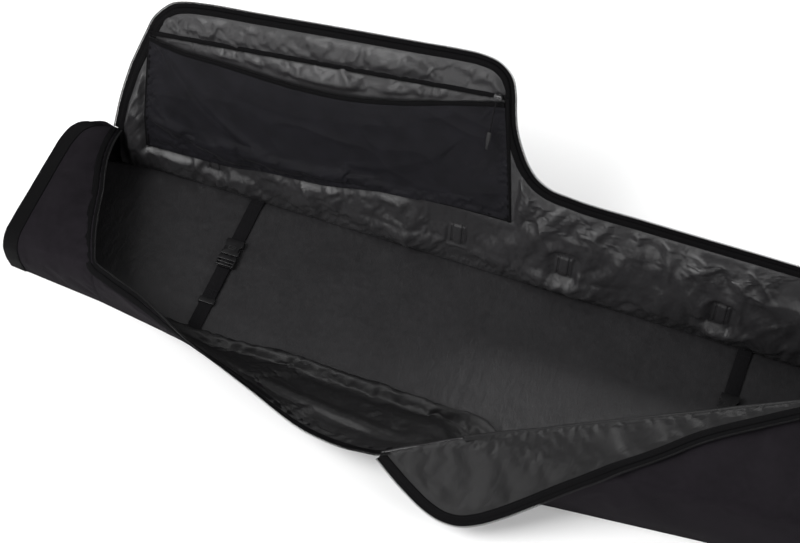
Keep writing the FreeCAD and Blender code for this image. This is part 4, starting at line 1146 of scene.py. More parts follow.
def make_band(grid, out, side):
    """Woven binding over an end: a flat band on the shell that turns over the end's edge."""
    column, reach, width = grid[0], np.linalg.norm(grid[1] - grid[0], axis=-1), 29.0
    step = np.minimum(width / reach, len(grid) - 2.001)
    k = step.astype(int)
    f = (step - k)[:, None]
    every = np.arange(grid.shape[1])
    inner = grid[k, every] * (1 - f) + grid[k + 1, every] * f
    turned = np.array([np.sign(column[0, 0]), 0, 0])
    v = np.linspace(0, 1, 9)[:, None, None]
    cover = column[None] * (1 - v) + inner[None] * v + out[0][None] * 1.6
    lip = column + out[0] * 0.2 + turned * 2.2
    low = column - out[0] * 5.0 + turned * 2.0
    rolled = [low, low * 0.4 + lip * 0.6, lip, lip * 0.45 + cover[0] * 0.55 + turned * 1.1]
    full = np.concatenate([np.array(rolled), cover])
    band = slab("end_binding_" + side, refined(full), BINDING)
    finish_piece(band, "bag", "binding", side + "_end_binding")
    row = stitches("end_stitch_" + side, cover[-1] - (cover[-1] - cover[-2]) * 0.7, out[0], lift=0.7)
    finish_piece(row, "bag", "binding")


def make_right_end():
    """Closed right end: end panel, lining and binding."""
    panel = end_panel("right_end_shell", RIGHT_SECTION, (840, 161, 1.5), (840, -188, 1.5), 4.0)
    finish_piece(panel, "bag", "shell", "right_end_panel")
    edge = curve(RIGHT_SECTION, 61)
    share = (edge[:, 1:2] + 188) / 349
    rise = np.clip(edge[:, 2:] / 107, 0, 1)
    back = edge + np.concatenate([np.full((61, 1), -60.0), -6 * (1 - share) + 4 * share, 16 * rise], 1)
    u = np.linspace(0, 1, 9)[:, None, None]
    grid = edge[None] * (1 - u) + back[None] * u
    make_band(grid, outwards(grid, (700, 0, 40)), "right")
    end_lining("right_end_lining", edge + np.array([-6.0, 0, 0]), (-183, 156), 90, 53)


# place along the path, then the way the tape points: over the opening at the cap, inwards and up on the
# wall's first part, and outwards where the wall slumps
RIM_AFTER_CAP = [(-620, -156, 123), (-560, -174, 119), (-445, -221, 113), (-320, -256, 92), (-200, -288, 72),
                 (-130, -297, 78), (-100, -300, 90), (-64, -303, 106), (-50, -300, 112)]
RIM_TURN = [(-748, 1, 0, 0.1), (-690, 1, 0.1, 0.2), (-668, 0.5, 0.6, 0.4), (-650, 0.1, 0.8, 0.55),
            (-560, 0, 0.7, 0.7), (-500, 0, 0.3, 0.95), (-445, 0, -0.3, 0.95), (-320, 0, -0.8, 0.6),
            (-200, 0, -0.95, 0.3), (-64, 0, -0.85, 0.5)]


def make_body_zipper():
    """Zipper along the cap's edge and the front wall's rim."""
    path = curve(CAP_EDGE + RIM_AFTER_CAP, 560)
    keys = np.array(RIM_TURN)
    away = np.stack([np.interp(path[:, 0], keys[:, 0], keys[:, k]) for k in (1, 2, 3)], -1)
    up = np.cross(unit(np.gradient(path, axis=0)), away)
    rim = zip_edge("body_edge", path, away, up, 3.0, inset=4.5)
    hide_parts("cap_zip_tape", "front_zip_tape")
    for obj in rim:
        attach(obj, "bag")


# ---------------------------------------------------------------------------------------------
# Turned-back flap with its hanging corner, in hinge coordinates: along the hinge and outwards from it
# ---------------------------------------------------------------------------------------------
HINGE_ALONG, HINGE_OUT = np.array([0.99624, 0.08660]), np.array([0.08660, -0.99624])
DROP, FILLET = math.radians(48), 20.0
FLAP_TOP = 154.5
CREST_LEFT = [(-128, 57), (-96, 43), (-64, 28), (0, 0)]
CORNER_EDGE = [(-128, 58), (-96, 86), (-62, 111), (-38, 126), (-10, 137), (18, 138), (46, 128), (80, 108),
               (122, 78), (167, 44), (226, 2)]
FLAP_EDGE = [(305, 65), (376, 44), (478, 28), (546, 19), (650, 1.5)]
CREST_TIP = 650.0


def flap_plan_point(along, away):
    """Hinge coordinates of a place given along the fold line and away from it."""
    f = unit(FOLD_B - FOLD_A)
    p = f * along + np.array([f[1], -f[0]]) * away
    return p @ HINGE_ALONG, p @ HINGE_OUT


def flap_at(plan, h):
    """Point of the flap or corner in the bag's frame; h is the height over the lining's face."""
    p, q = plan[..., 0], plan[..., 1]
    radius = FILLET / math.tan(DROP / 2)
    turn = np.clip((q + FILLET) / (radius * DROP), 0, 1) * DROP
    past = np.maximum(q + FILLET - radius * DROP, 0)
    reach = np.minimum(q, -FILLET) + radius * np.sin(turn) + past * math.cos(DROP)
    fall = radius * (1 - np.cos(turn)) + past * math.sin(DROP)
    droop = 0.0039 * np.maximum(-90 - p, 0) ** 2
    xy = FOLD_A + p[..., None] * HINGE_ALONG + (reach + np.sin(turn) * h)[..., None] * HINGE_OUT
    return np.concatenate([xy, (FLAP_TOP - fall - droop + np.cos(turn) * h)[..., None]], -1)


def make_flap():
    """Flap and corner as one cloth: lining on top, shell below, zipper round the free edge."""
    edge = CORNER_EDGE + [flap_plan_point(a, b) for a, b in FLAP_EDGE]
    crest = CREST_LEFT + [flap_plan_point(a, 1.0) for a in (160, 320, 480, CREST_TIP)]
    n, m = 151, 33
    low, high = curve(crest, n, smooth=False), curve(edge, n)
    v = np.linspace(0, 1, m)[None, :, None]
    plan = low[:, None] * (1 - v) + high[:, None] * v
    base = flap_at(plan, 0.0)
    pin = edge_pins(n, m, ("start", "end", "low", "high"), 1)
    top = drape(base, pin, 0.010, frames=20, bend=1.6, cap=5, seed=18, bias=-1.5)
    lower = grid_normals(base)
    sunk = np.sum((top - base) * lower, -1)
    top = top - lower * np.maximum(sunk - 0.3, 0)[..., None]
    keep = hold_edges(n, m, 3)
    slant = np.stack([0.91 * base[..., 0] - 0.41 * base[..., 1],
                      0.3 * (0.41 * base[..., 0] + 0.91 * base[..., 1]), 0.2 * base[..., 2]], -1)
    top = wrinkled(top, 61, fine=0.4, crease=-1.0, keep=keep, coords=slant, size=42.0)
    flat = refined(base)
    upward = grid_normals(flat)
    rise = np.sum((top - flat) * upward, -1)
    hem = hem_distance(flat)
    top = top + upward * ((rise * smoothstep((hem - 9) / 14)) - rise)[..., None]
    # flap lining in the darker copy of the lining: painted shade
    lining = slab("flap_lining", top, LINING_PAINTED_SHADE, 0.4, 0.4)
    shell = slab("flap_shell", wrinkled(flap_at(plan, -2.6), 67, 0.1, 0.3, keep), SHELL, 0.4, 0.4)
    line = flap_at(high, -1.0)
    away = line - flap_at(plan[:, -3], -1.0)
    up = flap_at(high, 1.0) - flap_at(high, 0.0)
    use = slice(0, -4)
    rim = zip_edge("flap_edge", line[use], away[use], up[use], 2.7)
    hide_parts("flap_panel", "flap_corner_panel")
    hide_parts("flap_zip_tape", "flap_corner_zip_tape")
    for obj in (lining, shell, *rim):
        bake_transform(obj)
    make_crest()


def make_crest():
    """Soft roll of lining along the crest, where the deck turns back into the flap."""
    f = unit(FOLD_B - FOLD_A)
    inwards = np.array([-f[1], f[0], 0.0])
    spine = curve([(*(FOLD_A + f * a), 149.3) for a in (0, 200, 400, CREST_TIP)], 160)
    turn = np.linspace(-0.5 * math.pi, 0.5 * math.pi, 11)
    grid = (spine[:, None] + np.cos(turn)[None, :, None] * inwards * 6.5
            + np.sin(turn)[None, :, None] * np.array([0, 0, 5.3]))
    tail_low = grid[:, :1] - inwards * 5.0 - np.array([0, 0, 0.6])
    tail_high = grid[:, -1:] - inwards * 6.0 - np.array([0, 0, 1.3])
    wave = inwards * (noise(grid, 60, 71) * 1.2)[..., None] * np.cos(turn)[None, :, None]
    grid = np.concatenate([tail_low, grid + wave, tail_high], 1)
    # crest roll in the darker copy of the lining: painted shade
    obj = slab("flap_crest", refined(grid), LINING_PAINTED_SHADE, 0.3, 0.3)
    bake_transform(obj)
    rim = curve([(-64, -302, 104), (-30, -289, 118), (0, -277.5, 127.5), (30, -265, 138), (60, -253, 147.5)], 40)
    along = unit(np.gradient(rim, axis=0))
    side = unit(np.cross(along, (0, 0, 1.0)))
    edge = sweep("post_rim", rim, side, np.cross(side, along), round_profile(3.4, 12), LINING)
    finish_piece(edge, "bag", "lining")


# ---------------------------------------------------------------------------------------------
# Floor, straps and buckles
# ---------------------------------------------------------------------------------------------
FLOOR_FRONT = [(-832, -117), (-660, -132), (-445, -162), (-200, -180), (-60, -200), (60, -228), (172, -242),
               (460, -212), (690, -194), (832, -181)]
FLOOR_BACK = [(-832, 134), (-745, 152), (-690, 162), (690, 162), (832, 152)]


def make_floor():
    """Foam floor pad under its lining, with a welted edge and faint quilting across."""
    n, m = 281, 61
    x = np.linspace(-831, 831, n)
    front = np.interp(x, *np.array(FLOOR_FRONT).T) + 1
    back = np.interp(x, *np.array(FLOOR_BACK).T) - 1
    v = np.linspace(0, 1, m)
    y = front[:, None] * (1 - v) + back[:, None] * v
    grid = np.stack([np.repeat(x[:, None], m, 1), y, np.full((n, m), 9.6)], -1)
    edge = np.minimum.reduce([grid[..., 1] - front[:, None], back[:, None] - grid[..., 1],
                              (x + 831)[:, None] + 0 * y, (831 - x)[:, None] + 0 * y])
    soft = 1 - np.exp(-np.maximum(edge, 0) / 9.0)
    channels = np.exp(-(np.abs((grid[..., 0] + 140) % 280 - 140) / 5.0) ** 2)
    grid[..., 2] += -3.4 * (1 - soft) - 0.9 * channels * soft
    grid[..., 2] += (noise(grid, 70, 81) * 0.35 + ridges(grid, 60, 83) * 0.35) * soft
    bottom = 3.2
    top = finer(grid, 1)
    under = top.copy()
    under[..., 2] = bottom
    uv = grid_uv(top).reshape(-1, 2)
    pad = new_piece("floor_pad", np.concatenate([top.reshape(-1, 3), under.reshape(-1, 3)]),
                    slab_faces(*top.shape[:2]), LINING, np.concatenate([uv, uv]))
    finish_piece(pad, "bag", "lining", "floor_foam", "floor_lining")
    loop = np.concatenate([grid[:, 0], grid[-1, 1:], grid[::-1, -1][1:], grid[0, ::-1][1:]])
    loop[:, 2] = 7.2
    centre = np.array([0.0, -20.0, 7.2])
    away = unit(loop - centre)
    path, out = even(loop, 5.0, away)
    up = np.repeat([[0.0, 0.0, 1.0]], len(path), 0)
    welt = sweep("floor_welt", path[:-1], out[:-1], up[:-1], round_profile(1.7, 8), BINDING, closed=True)
    finish_piece(welt, "bag", "binding")


STRAPS = {"left": (-479, 150), "right": (437, 205)}
STRAP_Z = 12.05


def web(name, x, y0, y1, z, thick=1.5, wave=0.5, seed=0, width=25.0):
    """Flat strap lying across the floor, a little uneven."""
    count = max(8, int(abs(y1 - y0) / 4))
    y = np.linspace(y0, y1, count)
    path = np.stack([np.full(count, float(x)), y, np.full(count, z)], -1)
    inside = np.sin(np.linspace(0, math.pi, count)) ** 0.5
    path[:, 2] += np.abs(noise(path, 45, seed)) * wave * inside
    path[:, 0] += noise(path, 120, seed + 3) * 0.6 * inside
    across = np.repeat([[1.0, 0.0, 0.0]], count, 0)
    along = unit(np.gradient(path, axis=0))
    up = unit(np.cross(across, along)) * np.sign(y1 - y0)
    flat = strip_profile(width, thick)
    return sweep(name, path, across, up, flat, WEBBING)


def box_stitch(name, centre, half_x, half_y, across=(1.0, 0, 0), along=(0, 1.0, 0), up=(0, 0, 1.0)):
    """Square of stitches with a cross through it."""
    c, a, b = (np.array(v, float) for v in (centre, across, along))
    corners = [c + a * sx * half_x + b * sy * half_y for sx, sy in ((-1, -1), (1, -1), (1, 1), (-1, 1))]
    lines = list(zip(corners, corners[1:] + corners[:1])) + [(corners[0], corners[2]), (corners[1], corners[3])]
    rows = []
    for k, (p, q) in enumerate(lines):
        path = np.array([p, q])
        rows.append(stitches("%s_%d" % (name, k), path, np.repeat([np.array(up, float)], 2, 0), 0.2, 3.6))
    return join(name, rows)


def rectangle(x0, y0, x1, y1):
    """Plan outline of a rectangle, from its first corner to the opposite one."""
    return [(x0, y0), (x1, y0), (x1, y1), (x0, y1)]


def mirrored(half):
    """Plan outline from its right half, listed from the front to the back."""
    return [(x, y) for x, y in half] + [(-x, y) for x, y in reversed(half)]


def make_buckle(side, x0):
    """Side-release buckle: socket with side windows, and plug with hooked prongs and two webbing bars."""
    base = 11.3

    def put(v):
        return v + np.array([x0, 0, base])

    low_plate = [(15.0, 20.4), (16.6, 22.0), (17.0, 26.0), (13.2, 30.0), (12.8, 38.0), (16.4, 42.0), (17.0, 46.0),
                 (16.8, 52.6), (15.6, 54.0)]
    socket = [block("s1", mirrored(low_plate), 0.2, 2.2, 0.5, PLASTIC, put),
              block("s2", mirrored(low_plate), 7.8, 9.8, 0.6, PLASTIC, put),
              block("s3", mirrored([(16.6, 42.6), (17.0, 46.0), (16.8, 47.5)]), 2.0, 8.0, 0.5, PLASTIC, put),
              block("s4", mirrored([(16.8, 51.2), (16.8, 53.6)]), 2.0, 8.0, 0.5, PLASTIC, put)]
    for x in (-15.4, 15.4):
        socket.append(block("s5", rectangle(x - 1.4, 42, x + 1.4, 53.6), 2.0, 8.0, 0.4, PLASTIC, put))
        post = rectangle(x * 0.94 - 1.0, 20.8, x * 0.94 + 1.0, 26.5)
        socket.append(block("s6", post, 2.0, 8.0, 0.4, PLASTIC, put))
    for y in (33.0, 36.0, 39.0):
        socket.append(block("s7", rectangle(-7.5, y - 0.55, 7.5, y + 0.55), 9.6, 10.4, 0.3, PLASTIC, put))
    obj = join(side + "_socket", socket)
    finish_piece(obj, "bag", "buckle_plastic", side + "_buckle_socket")
    base_plate = mirrored([(15.6, -3.8), (16.9, -2.0), (17.0, 14.0), (15.0, 18.6)])
    plug = [block("p1", base_plate, 2.1, 4.2, 0.5, PLASTIC, put),
            block("p2", mirrored([(16.9, 9.0), (17.0, 14.0), (15.4, 18.6)]), 4.0, 9.4, 0.8, PLASTIC, put),
            block("p3", [(-2.2, 17.5), (2.2, 17.5), (2.0, 38.0), (-2.0, 38.0)], 3.4, 6.6, 0.5, PLASTIC, put)]
    for y0, y1 in ((-3.9, -1.2), (2.4, 5.4)):
        plug.append(block("p4", rectangle(-16.9, y0, 16.9, y1), 4.0, 9.0, 1.0, PLASTIC, put))
    for s in (-1, 1):
        plug.append(block("p5", rectangle(s * 16.9, -3.6, s * 14.2, 10), 4.0, 9.2, 0.6, PLASTIC, put))
        arm = [(s * 8.8, 17.5), (s * 12.2, 17.5), (s * 12.6, 27.0), (s * 15.4, 30.6), (s * 15.8, 34.0),
               (s * 14.6, 38.6), (s * 12.2, 40.6), (s * 10.4, 40.0), (s * 9.6, 32.0)]
        plug.append(block("p6", arm, 2.7, 7.3, 0.6, PLASTIC, put))
    obj = join(side + "_plug", plug)
    finish_piece(obj, side + "_plug", "buckle_plastic", side + "_buckle_plug")


def make_straps():
    """Two tie-down straps with their buckles, doubled loops, keepers and sewn ends."""
    for number, (side, (x, reach)) in enumerate(STRAPS.items()):
        rear = web(side + "_strap_rear", x, 54.5, 164.5, STRAP_Z, seed=number)
        finish_piece(rear, "bag", "webbing", side + "_rear_webbing")
        front = web(side + "_strap_front", x, -reach + 0.5, -0.3, STRAP_Z, seed=number + 5, wave=0.4)
        finish_piece(front, "bag", "webbing", side + "_front_webbing")
        loop = web(side + "_strap_doubled", x, -84.2, -4.4, STRAP_Z + 2.2, seed=number + 9, wave=0.25, width=24.6)
        finish_piece(loop, side + "_plug", "webbing", side + "_strap_loop")
        finish_piece(box_stitch(side + "_sewn_rear", (x, 150, STRAP_Z + 0.75), 9.5, 8), "bag", "webbing")
        finish_piece(box_stitch(side + "_sewn_front", (x, 12 - reach, STRAP_Z + 0.75), 9.5, 7), "bag", "webbing")
        finish_piece(box_stitch(side + "_sewn_loop", (x, -62, STRAP_Z + 2.95), 9.5, 6), side + "_plug", "webbing")
        make_buckle(side, x)
        turn = np.linspace(0, 2 * math.pi, 49)[:-1]
        ring = np.stack([x + 14.1 * squarish(np.cos(turn), 0.28), np.full(48, -80.0),
                         13.35 + 3.2 * squarish(np.sin(turn), 0.28)], -1)
        centre = np.array([x, -80.0, 13.35])
        out = unit((ring - centre) * np.array([1, 1, 3.0]))
        sides = np.repeat([[0.0, 1.0, 0.0]], 48, 0)
        keeper = sweep(side + "_keeper", ring, sides, out, strip_profile(11.4, 1.6), PLASTIC, closed=True)
        finish_piece(keeper, side + "_keeper", "buckle_plastic", side + "_strap_keeper")


def make_pocket():
    """Mesh sheet with its bound mouth, fixed zipper tape and sewn edges."""
    n, m = 131, 41
    top = curve(MOUTH, n)
    share = (top[:, 0] - top[0, 0]) / (top[-1, 0] - top[0, 0])
    foot_x = POCKET_LEFT + (POCKET_RIGHT_FOOT - POCKET_LEFT) * share
    foot = np.stack([foot_x, np.interp(foot_x, *np.array(POCKET_FOOT, float).T)], -1)
    v = np.linspace(0, 1, m)
    plan = foot[:, None] * (1 - v)[None, :, None] + top[:, None] * v[None, :, None]
    ramp = np.minimum(smoothstep(share / 0.10), smoothstep((1 - share) / 0.30))
    belly = 4.2 + 13.5 * ramp[:, None] * np.sin(math.pi * np.clip(v * 0.62 + 0.05, 0, 1))[None] ** 0.8
    grid = inner_at(plan[..., 0], plan[..., 1], belly)
    pin = edge_pins(n, m, ("start", "end", "low"), 1)
    pin[:6, -3:] = 1.0
    pin[-6:, -3:] = 1.0
    cloth = drape(grid, pin, 0.020, frames=22, bend=0.25, gravity=0.12, cap=9.0, seed=25, bias=-0.8)
    normal = grid_normals(grid)
    sign = np.sign(np.mean(normal[..., 1]))
    depth = np.sum((cloth - grid) * normal * -sign, -1) + belly
    cloth = cloth + normal * -sign * np.maximum(2.6 - depth, 0)[..., None]
    cloth = refined(cloth)
    folds = (ridges(cloth @ np.array([[0.5, 0, 0.4], [0, 1, 0], [-0.4, 0, 1.4]]), 95, 29) * 2.6
             * refined((hold_edges(n, m, 4) * np.ones((n, m)))[..., None])[..., 0])
    normal = grid_normals(cloth)
    cloth = cloth - normal * sign * folds[..., None]
    net = slab("pocket_net", cloth, MESH, 0.2, 0.2)
    finish_piece(net, None, "mesh", "mesh_pocket")
    mouth, inner = cloth[:, -1], cloth[:, -3]
    along = unit(np.gradient(mouth, axis=0))
    away = unit(mouth - inner)
    away = unit(away - along * np.sum(away * along, -1, keepdims=True))
    up = unit(np.cross(along, away))
    path, a, b = even(mouth, 3.0, away, up)
    hem = sweep("pocket_mouth", path - a * 0.5, a, b, strip_profile(8.5, 1.7), BINDING)
    finish_piece(hem, "lid", "zip_tape", "pocket_mouth_tape")
    teeth = coil("pocket_mouth_coil", path + a * 3.9, a, b, pitch=1.9, reach=2.0, wire=0.42, rise=0.7)
    finish_piece(teeth, "lid", "zip_tape")
    count = 200
    line = np.linspace(POCKET_TAPE[0], POCKET_TAPE[1], count)
    path = lid_at(line[:, 0], line[:, 1], LINING_DEPTH - 1.0)
    up = np.repeat([lid_at(0, 0, -1.0) - lid_at(0, 0, 0.0)], count, 0)
    along = unit(np.gradient(path, axis=0))
    down = unit(np.cross(up, along))
    down = down * -np.sign(np.sum(down * np.array([0, 0, 1.0]), -1, keepdims=True))
    tape = sweep("pocket_tape", path, down, up, strip_profile(9, 1.2), TAPE)
    finish_piece(tape, "lid", "zip_tape", "pocket_zip_tape")
    teeth = coil("pocket_tape_coil", path + down * 4.4, down, up, pitch=1.9, reach=2.0, wire=0.42, rise=0.7)
    finish_piece(teeth, "lid", "zip_tape")
    rows = [stitches("r1", path - down * 3.0, up, 0.75)]
    side_seams = []
    for plan_line in ([(POCKET_LEFT, POCKET_FOOT[0][1]), (POCKET_LEFT, 50), (POCKET_LEFT, 172)],
                      [(POCKET_RIGHT_FOOT, 6), (-29, 128), (POCKET_RIGHT_TOP, 246)], POCKET_FOOT):
        p = curve(plan_line, 160)
        q = inner_at(p[:, 0], p[:, 1], 3.4 - LINING_DEPTH * 0.2)
        t = unit(np.gradient(q, axis=0))
        u = np.repeat(up[:1], len(q), 0)
        side_seams.append(sweep("seam", q, unit(np.cross(u, t)), u, strip_profile(7, 1.1), BINDING))
        rows.append(stitches("r2", q, u, 0.7))
    seams, threads = join("pocket_seams", side_seams), join("pocket_stitch", rows)
    finish_piece(seams, None, "binding", "pocket_binding")
    finish_piece(threads, None, "binding")
    for obj in (net, seams, threads):
        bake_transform(obj)


def slider_body(put, material):
    """Zipper slider: two curved plates with a wedge between them and an arched ear for the pull."""
    plate = [(2.6, -7.0), (4.0, -6.4), (4.4, -2.0), (5.0, 2.5), (4.6, 5.8), (2.0, 7.0)]
    return [block("a", mirrored(plate), 0.1, 1.5, 0.4, material, put),
            block("b", mirrored(plate), 4.0, 5.5, 0.5, material, put),
            block("c", [(-1.4, 3.0), (1.4, 3.0), (2.4, 6.8), (-2.4, 6.8)], 1.3, 4.2, 0.3, material, put)]


def local_frame(origin, x_axis, y_axis, z_axis):
    """Function that maps local millimetre points into the bag's frame."""
    axes = np.array([x_axis, y_axis, z_axis], float)
    start = np.array(origin, float)
    return lambda v: start + np.asarray(v) @ axes


def make_pocket_slider():
    """Pocket slider with its ear, the cord pull and the moulded grip."""
    low, high = (np.array(p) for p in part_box("pocket_slider"))
    centre = (low + high) / 2 / MM
    run = unit(lid_at(*POCKET_TAPE[1], 0) - lid_at(*POCKET_TAPE[0], 0))
    out = unit(lid_at(0, 0, -1.0) - lid_at(0, 0, 0.0))
    side = np.cross(run, out)
    put = local_frame(centre - out * 2.9, side, run, out)
    parts = slider_body(put, METAL)
    arch = np.linspace(0, math.pi, 13)
    path = put(np.stack([np.zeros(13), -3.6 * np.cos(arch), 5.2 + 0.9 * np.sin(arch)], -1))
    across = np.repeat([side], 13, 0)
    up = unit(np.cross(unit(np.gradient(path, axis=0)), across))
    parts.append(sweep("ear", path, across, up, strip_profile(2.6, 1.0), METAL))
    finish_piece(join("pocket_zip_slider", parts), "pocket_slider", "zip_metal", "pocket_slider")
    down = unit(lid_at(0, 0.0, 0) - lid_at(0, 1.0, 0))
    lid_axis = lid_at(0, 0, 1.0) - lid_at(0, 0, 0.0)
    origin = np.array([0.0, 170.0, 150.0])

    def from_lid(x, y, z):
        """Lid-local millimetres to metres in the bag's frame."""
        return tuple((origin + np.array([x, 0, 0]) + down * y + lid_axis * z) * MM)

    x, y, z = -64.902, -238.288, -10.85
    route = [from_lid(x, y, z), from_lid(x, y + 12, -22), from_lid(x + 1, y + 34, -26),
             from_lid(x, y + 55, -25)]
    line = bpy.data.curves.new("pull_cord", "CURVE")
    line.dimensions = "3D"
    line.bevel_depth, line.bevel_resolution, line.use_fill_caps = 0.00125, 4, True
    spline = line.splines.new("NURBS")
    spline.points.add(len(route) - 1)
    for point, place in zip(spline.points, route):
        point.co = (*place, 1.0)
    spline.order_u, spline.use_endpoint_u = 3, True
    spline.resolution_u = 16
    line.materials.append(CORD)
    cord = bpy.data.objects.new("pull_cord", line)
    bpy.context.scene.collection.objects.link(cord)
    finish_piece(cord, "pocket_pull", "cord", "pocket_pull_cord")
    end = np.array(route[-1]) / MM
    put = local_frame(end, (1.0, 0, 0), down, -lid_axis)
    parts = []
    rings, steps, sides = [], 15, 20
    turn = np.linspace(0, 2 * math.pi, sides, endpoint=False)
    for k in range(steps):
        t = k / (steps - 1)
        wide = 4.0 * (0.55 + 0.45 * math.sin(math.pi * min(t * 1.15 + 0.12, 1.0)) ** 0.6) * (
            0.75 if k in (0, steps - 1) else 1.0)
        thick = 2.45 * (0.7 + 0.3 * math.sin(math.pi * t)) * (0.7 if k in (0, steps - 1) else 1.0)
        c, s = np.cos(turn), np.sin(turn)
        rings.append(np.stack([wide * squarish(c, 0.6), np.full(sides, -3.0 + 34.8 * t),
                               thick * squarish(s, 0.6)], -1))
    rings = np.array(rings)
    shape = new_piece("grip", put(rings.reshape(-1, 3)), tube_faces(steps, sides), RUBBER)
    fix_normals(shape)
    parts.append(shape)
    for y0 in (9.0, 13.0, 17.0, 21.0, 25.0):
        for low, high in ((-2.7, -2.2), (2.2, 2.7)):
            parts.append(block("rib", rectangle(-2.6, y0, 2.6, y0 + 1.3), low, high, 0.2, RUBBER, put))
    grip = join("pull_grip", parts)
    finish_piece(grip, "pocket_pull", "pull_rubber", "pocket_pull_grip")


# ---------------------------------------------------------------------------------------------
# Main slider, closed zipper, handle, rings and patches
# ---------------------------------------------------------------------------------------------
TAIL_SLOPE = 0.2667


def make_main_slider():
    """Slider where the opening ends, its pull, and the closed zipper beyond it."""
    tilt = math.atan(TAIL_SLOPE)
    run = np.array([math.cos(tilt), 0, -math.sin(tilt)])
    up = np.array([math.sin(tilt), 0, math.cos(tilt)])
    low, high = (np.array(p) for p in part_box("main_zip_slider"))
    middle = (low + high) / 2 / MM
    put = local_frame(middle - up * 3.9, np.array([0, 1.0, 0]), run, up)
    parts = slider_body(put, METAL)
    for y in (-2.9, 2.9):
        parts.append(block("ear", rectangle(y - 0.5, -2.6, y + 0.5, 2.6), 5.2, 8.6, 0.3, METAL, put))
    finish_piece(join("main_slider_body", parts), "main_slider", "zip_metal", "main_zip_slider")
    low, high = (np.array(p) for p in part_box("main_zip_pull"))
    start = np.array([low[0], (low[1] + high[1]) / 2, high[2]]) / MM
    put = local_frame(start - up * 1.0, np.array([0, 1.0, 0]), run, up)
    tab = [(1.5, 0.2), (1.9, 1.5), (1.9, 12.0), (2.0, 38.0), (1.6, 41.0), (0.9, 41.8)]
    parts = [block("tab", mirrored(tab), -0.7, 0.8, 0.35, METAL, put)]
    for y in (22.0, 26.0, 30.0, 34.0):
        parts.append(block("rib", rectangle(-1.3, y, 1.3, y + 1.4), 0.6, 1.15, 0.2, METAL, put))
    finish_piece(join("main_pull_tab", parts), "main_pull", "zip_metal", "main_zip_pull")
    count = 60
    x = np.linspace(700, 822, count)
    top = np.interp(x, [690, 840], [148.6, 108.6])
    path = np.stack([x, np.full(count, 81.0), top], -1)
    across = np.repeat([[0, 1.0, 0]], count, 0)
    upward = np.repeat([up], count, 0)
    tape = sweep("closed_tape", path, across, upward, strip_profile(30, 1.2), TAPE)
    finish_piece(tape, "bag", "zip_tape", "closed_zip_tape")
    teeth = [coil("c1", path + up * 1.0 + across * -1.4, across, upward, reach=2.2),
             coil("c2", path + up * 1.0 + across * 1.4, -across, upward, reach=2.2)]
    finish_piece(join("closed_coil", teeth), "bag", "zip_tape")
    rows = [stitches("s", path + across * s, upward, 0.7) for s in (-11.5, 11.5)]
    finish_piece(join("closed_stitch", rows), "bag", "zip_tape")


# directions of a box of stitches on the back wall: along, up, and out of the wall
ON_BACK = ((1.0, 0, 0), (0, 0, 1.0), (0, 1.0, 0))


def make_handle():
    """Carry handle: webbing loop on two sewn anchors with a padded, wrapped grip."""
    y = 174.4
    path = curve([(-98, y, 103), (-98, y, 84), (-96, y, 66), (-84, y, 54), (-64, y + 1, 50.5), (0, y + 1.5, 50.5),
                  (64, y + 1, 50.5), (84, y, 54), (96, y, 66), (98, y, 84), (98, y, 103)], 130)
    along = unit(np.gradient(path, axis=0))
    up = np.repeat([[0, 1.0, 0]], len(path), 0)
    across = unit(np.cross(up, along))
    webbing = sweep("handle_web", path, across, up, strip_profile(24.5, 2.2), WEBBING)
    finish_piece(webbing, "handle", "webbing", "handle_webbing")
    for side, x in (("left", -98), ("right", 98)):
        line = curve([(x, 171.7, 100.5), (x, 171.9, 116), (x, 171.7, 132)], 20)
        t = unit(np.gradient(line, axis=0))
        u = np.repeat([[0, 1.0, 0]], len(line), 0)
        across = unit(np.cross(u, t))
        strap = sweep("handle_anchor_web_" + side, line, across, u, strip_profile(25, 2.0), WEBBING)
        finish_piece(strap, "bag", "webbing", "handle_anchor_" + side)
        sewn = box_stitch("handle_sewn_" + side, (x, 173.0, 116), 9.5, 11, *ON_BACK)
        finish_piece(sewn, "bag", "webbing")
    steps, sides = 61, 28
    turn = np.linspace(0, 2 * math.pi, sides, endpoint=False)
    rings = []
    for t in np.linspace(0, 1, steps):
        end = min(t, 1 - t) * 116
        swell = 1 - 0.42 * math.exp(-end / 3.0)
        c, s = np.cos(turn), np.sin(turn)
        pucker = 1 + 0.018 * math.sin(t * 60)
        deep = 176.8 + 5.6 * swell * pucker * squarish(s, 0.7)
        high = 50.5 + 16.6 * (0.9 + 0.1 * swell) * squarish(c, 0.7)
        rings.append(np.stack([np.full(sides, -58 + 116 * t), deep, high], -1))
    rings = np.array(rings)
    rings = rings + np.array([0, 1.0, 0.4]) * (noise(rings, 22, 91) * 0.35)[..., None]
    arc = np.stack(np.meshgrid(np.linspace(0, 116, steps), np.linspace(0, 90, sides), indexing="ij"), -1)
    grip = new_piece("handle_pad", rings.reshape(-1, 3), tube_faces(steps, sides), GRIP, arc.reshape(-1, 2))
    fix_normals(grip)
    finish_piece(grip, "handle", "grip_fabric", "handle_grip")
    rows = []
    for z in (38.0, 63.0):
        line = curve([(-54, 182.2, z), (0, 182.3, z), (54, 182.2, z)], 40)
        rows.append(stitches("g", line, np.repeat([[0, 1.0, 0]], 40, 0), 0.1))
    finish_piece(join("handle_pad_stitch", rows), "handle", "grip_fabric")


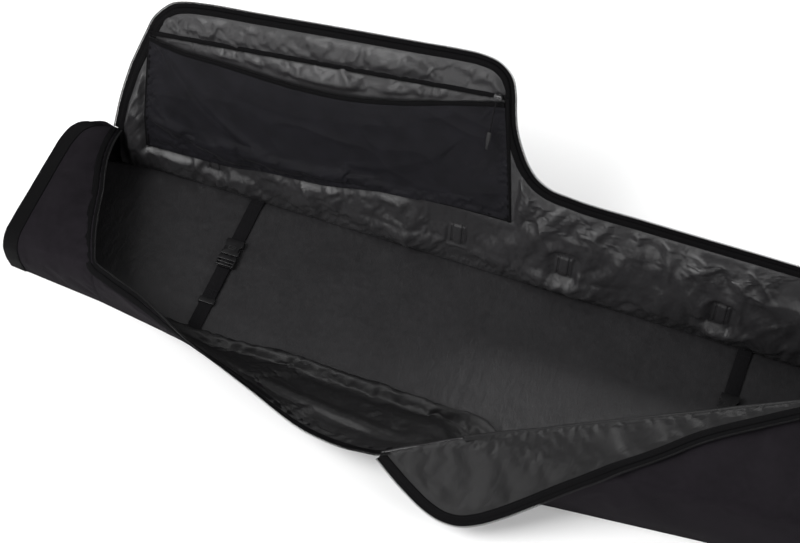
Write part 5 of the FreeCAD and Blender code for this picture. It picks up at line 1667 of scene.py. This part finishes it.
def make_ring_tabs():
    """Webbing tabs that hold the rings, with a sewn box; the rings keep their CAD shape."""
    for side, x in (("left", -561), ("right", 380)):
        line = curve([(x, 171.6, 129.5), (x, 171.6, 114), (x, 171.6, 102), (x, 171.3, 96), (x, 172.2, 93.2),
                      (x, 174.9, 92.4), (x, 177.6, 93.4), (x, 178.5, 96), (x, 177.4, 99), (x, 174.9, 101.4),
                      (x, 173.6, 106), (x, 173.4, 114), (x, 173.4, 127)], 90)
        t = unit(np.gradient(line, axis=0))
        across = np.repeat([[1.0, 0, 0]], len(line), 0)
        up = unit(np.cross(t, across))
        strap = sweep("ring_web_" + side, line, across, up, strip_profile(18.8, 1.4), WEBBING)
        finish_piece(strap, "bag", "webbing", "ring_tab_" + side)
        sewn = box_stitch("ring_sewn_" + side, (x, 174.3, 118), 7, 7, *ON_BACK)
        finish_piece(sewn, "bag", "webbing")
        repaint("d_ring_" + side, METAL)


def make_patches():
    """Lining patches on the back wall's inside, each with two pairs of stitch lines."""
    names = ("patch_ring_left", "patch_handle_left", "patch_handle_right", "patch_ring_right")
    for name, x in zip(names, PATCHES):
        n, m = 19, 27
        u, v = np.meshgrid(np.linspace(-17, 17, n), np.linspace(0, 1, m), indexing="ij")
        z = 62 + 52 * v
        face = wall_at(x + u, z, 4.8)[..., 1]
        dent = 1.5 * np.exp(-((np.abs(u) - 9.7) / 2.4) ** 2)
        grid = np.stack([x + u, face + dent + noise(np.stack([u + x, face, z], -1), 14, 7) * 0.35, z], -1)
        fade = smoothstep((17 - np.abs(u)) / 6) * smoothstep(v * 52 / 14) * smoothstep((1 - v) * 52 / 8)
        grid[..., 1] += 2.6 * (1 - fade)
        patch = slab(name + "_cloth", refined(grid), LINING, 0.5, 0.5)
        finish_piece(patch, "bag", "lining", name)
        rows = []
        for s in (-11.2, -8.2, 8.2, 11.2):
            k = int(round((s + 17) / 34 * (n - 1)))
            line = grid[k].copy()
            line[:, 0] = x + s
            rows.append(stitches("p", line, np.repeat([[0, -1.0, 0]], m, 0), 0.6, 3.4))
        finish_piece(join(name + "_stitch", rows), "bag", "lining")


def paint_kept_nodes():
    """Finish for the CAD nodes that stay as they are."""
    repaint("base_panel", SHELL_PLAIN)


make_pocket_slider()
make_back()
make_front()
make_left_end()
make_right_end()
make_body_zipper()
make_flap()
make_floor()
make_straps()
make_pocket()
make_main_slider()
make_handle()
make_ring_tabs()
make_patches()
paint_kept_nodes()
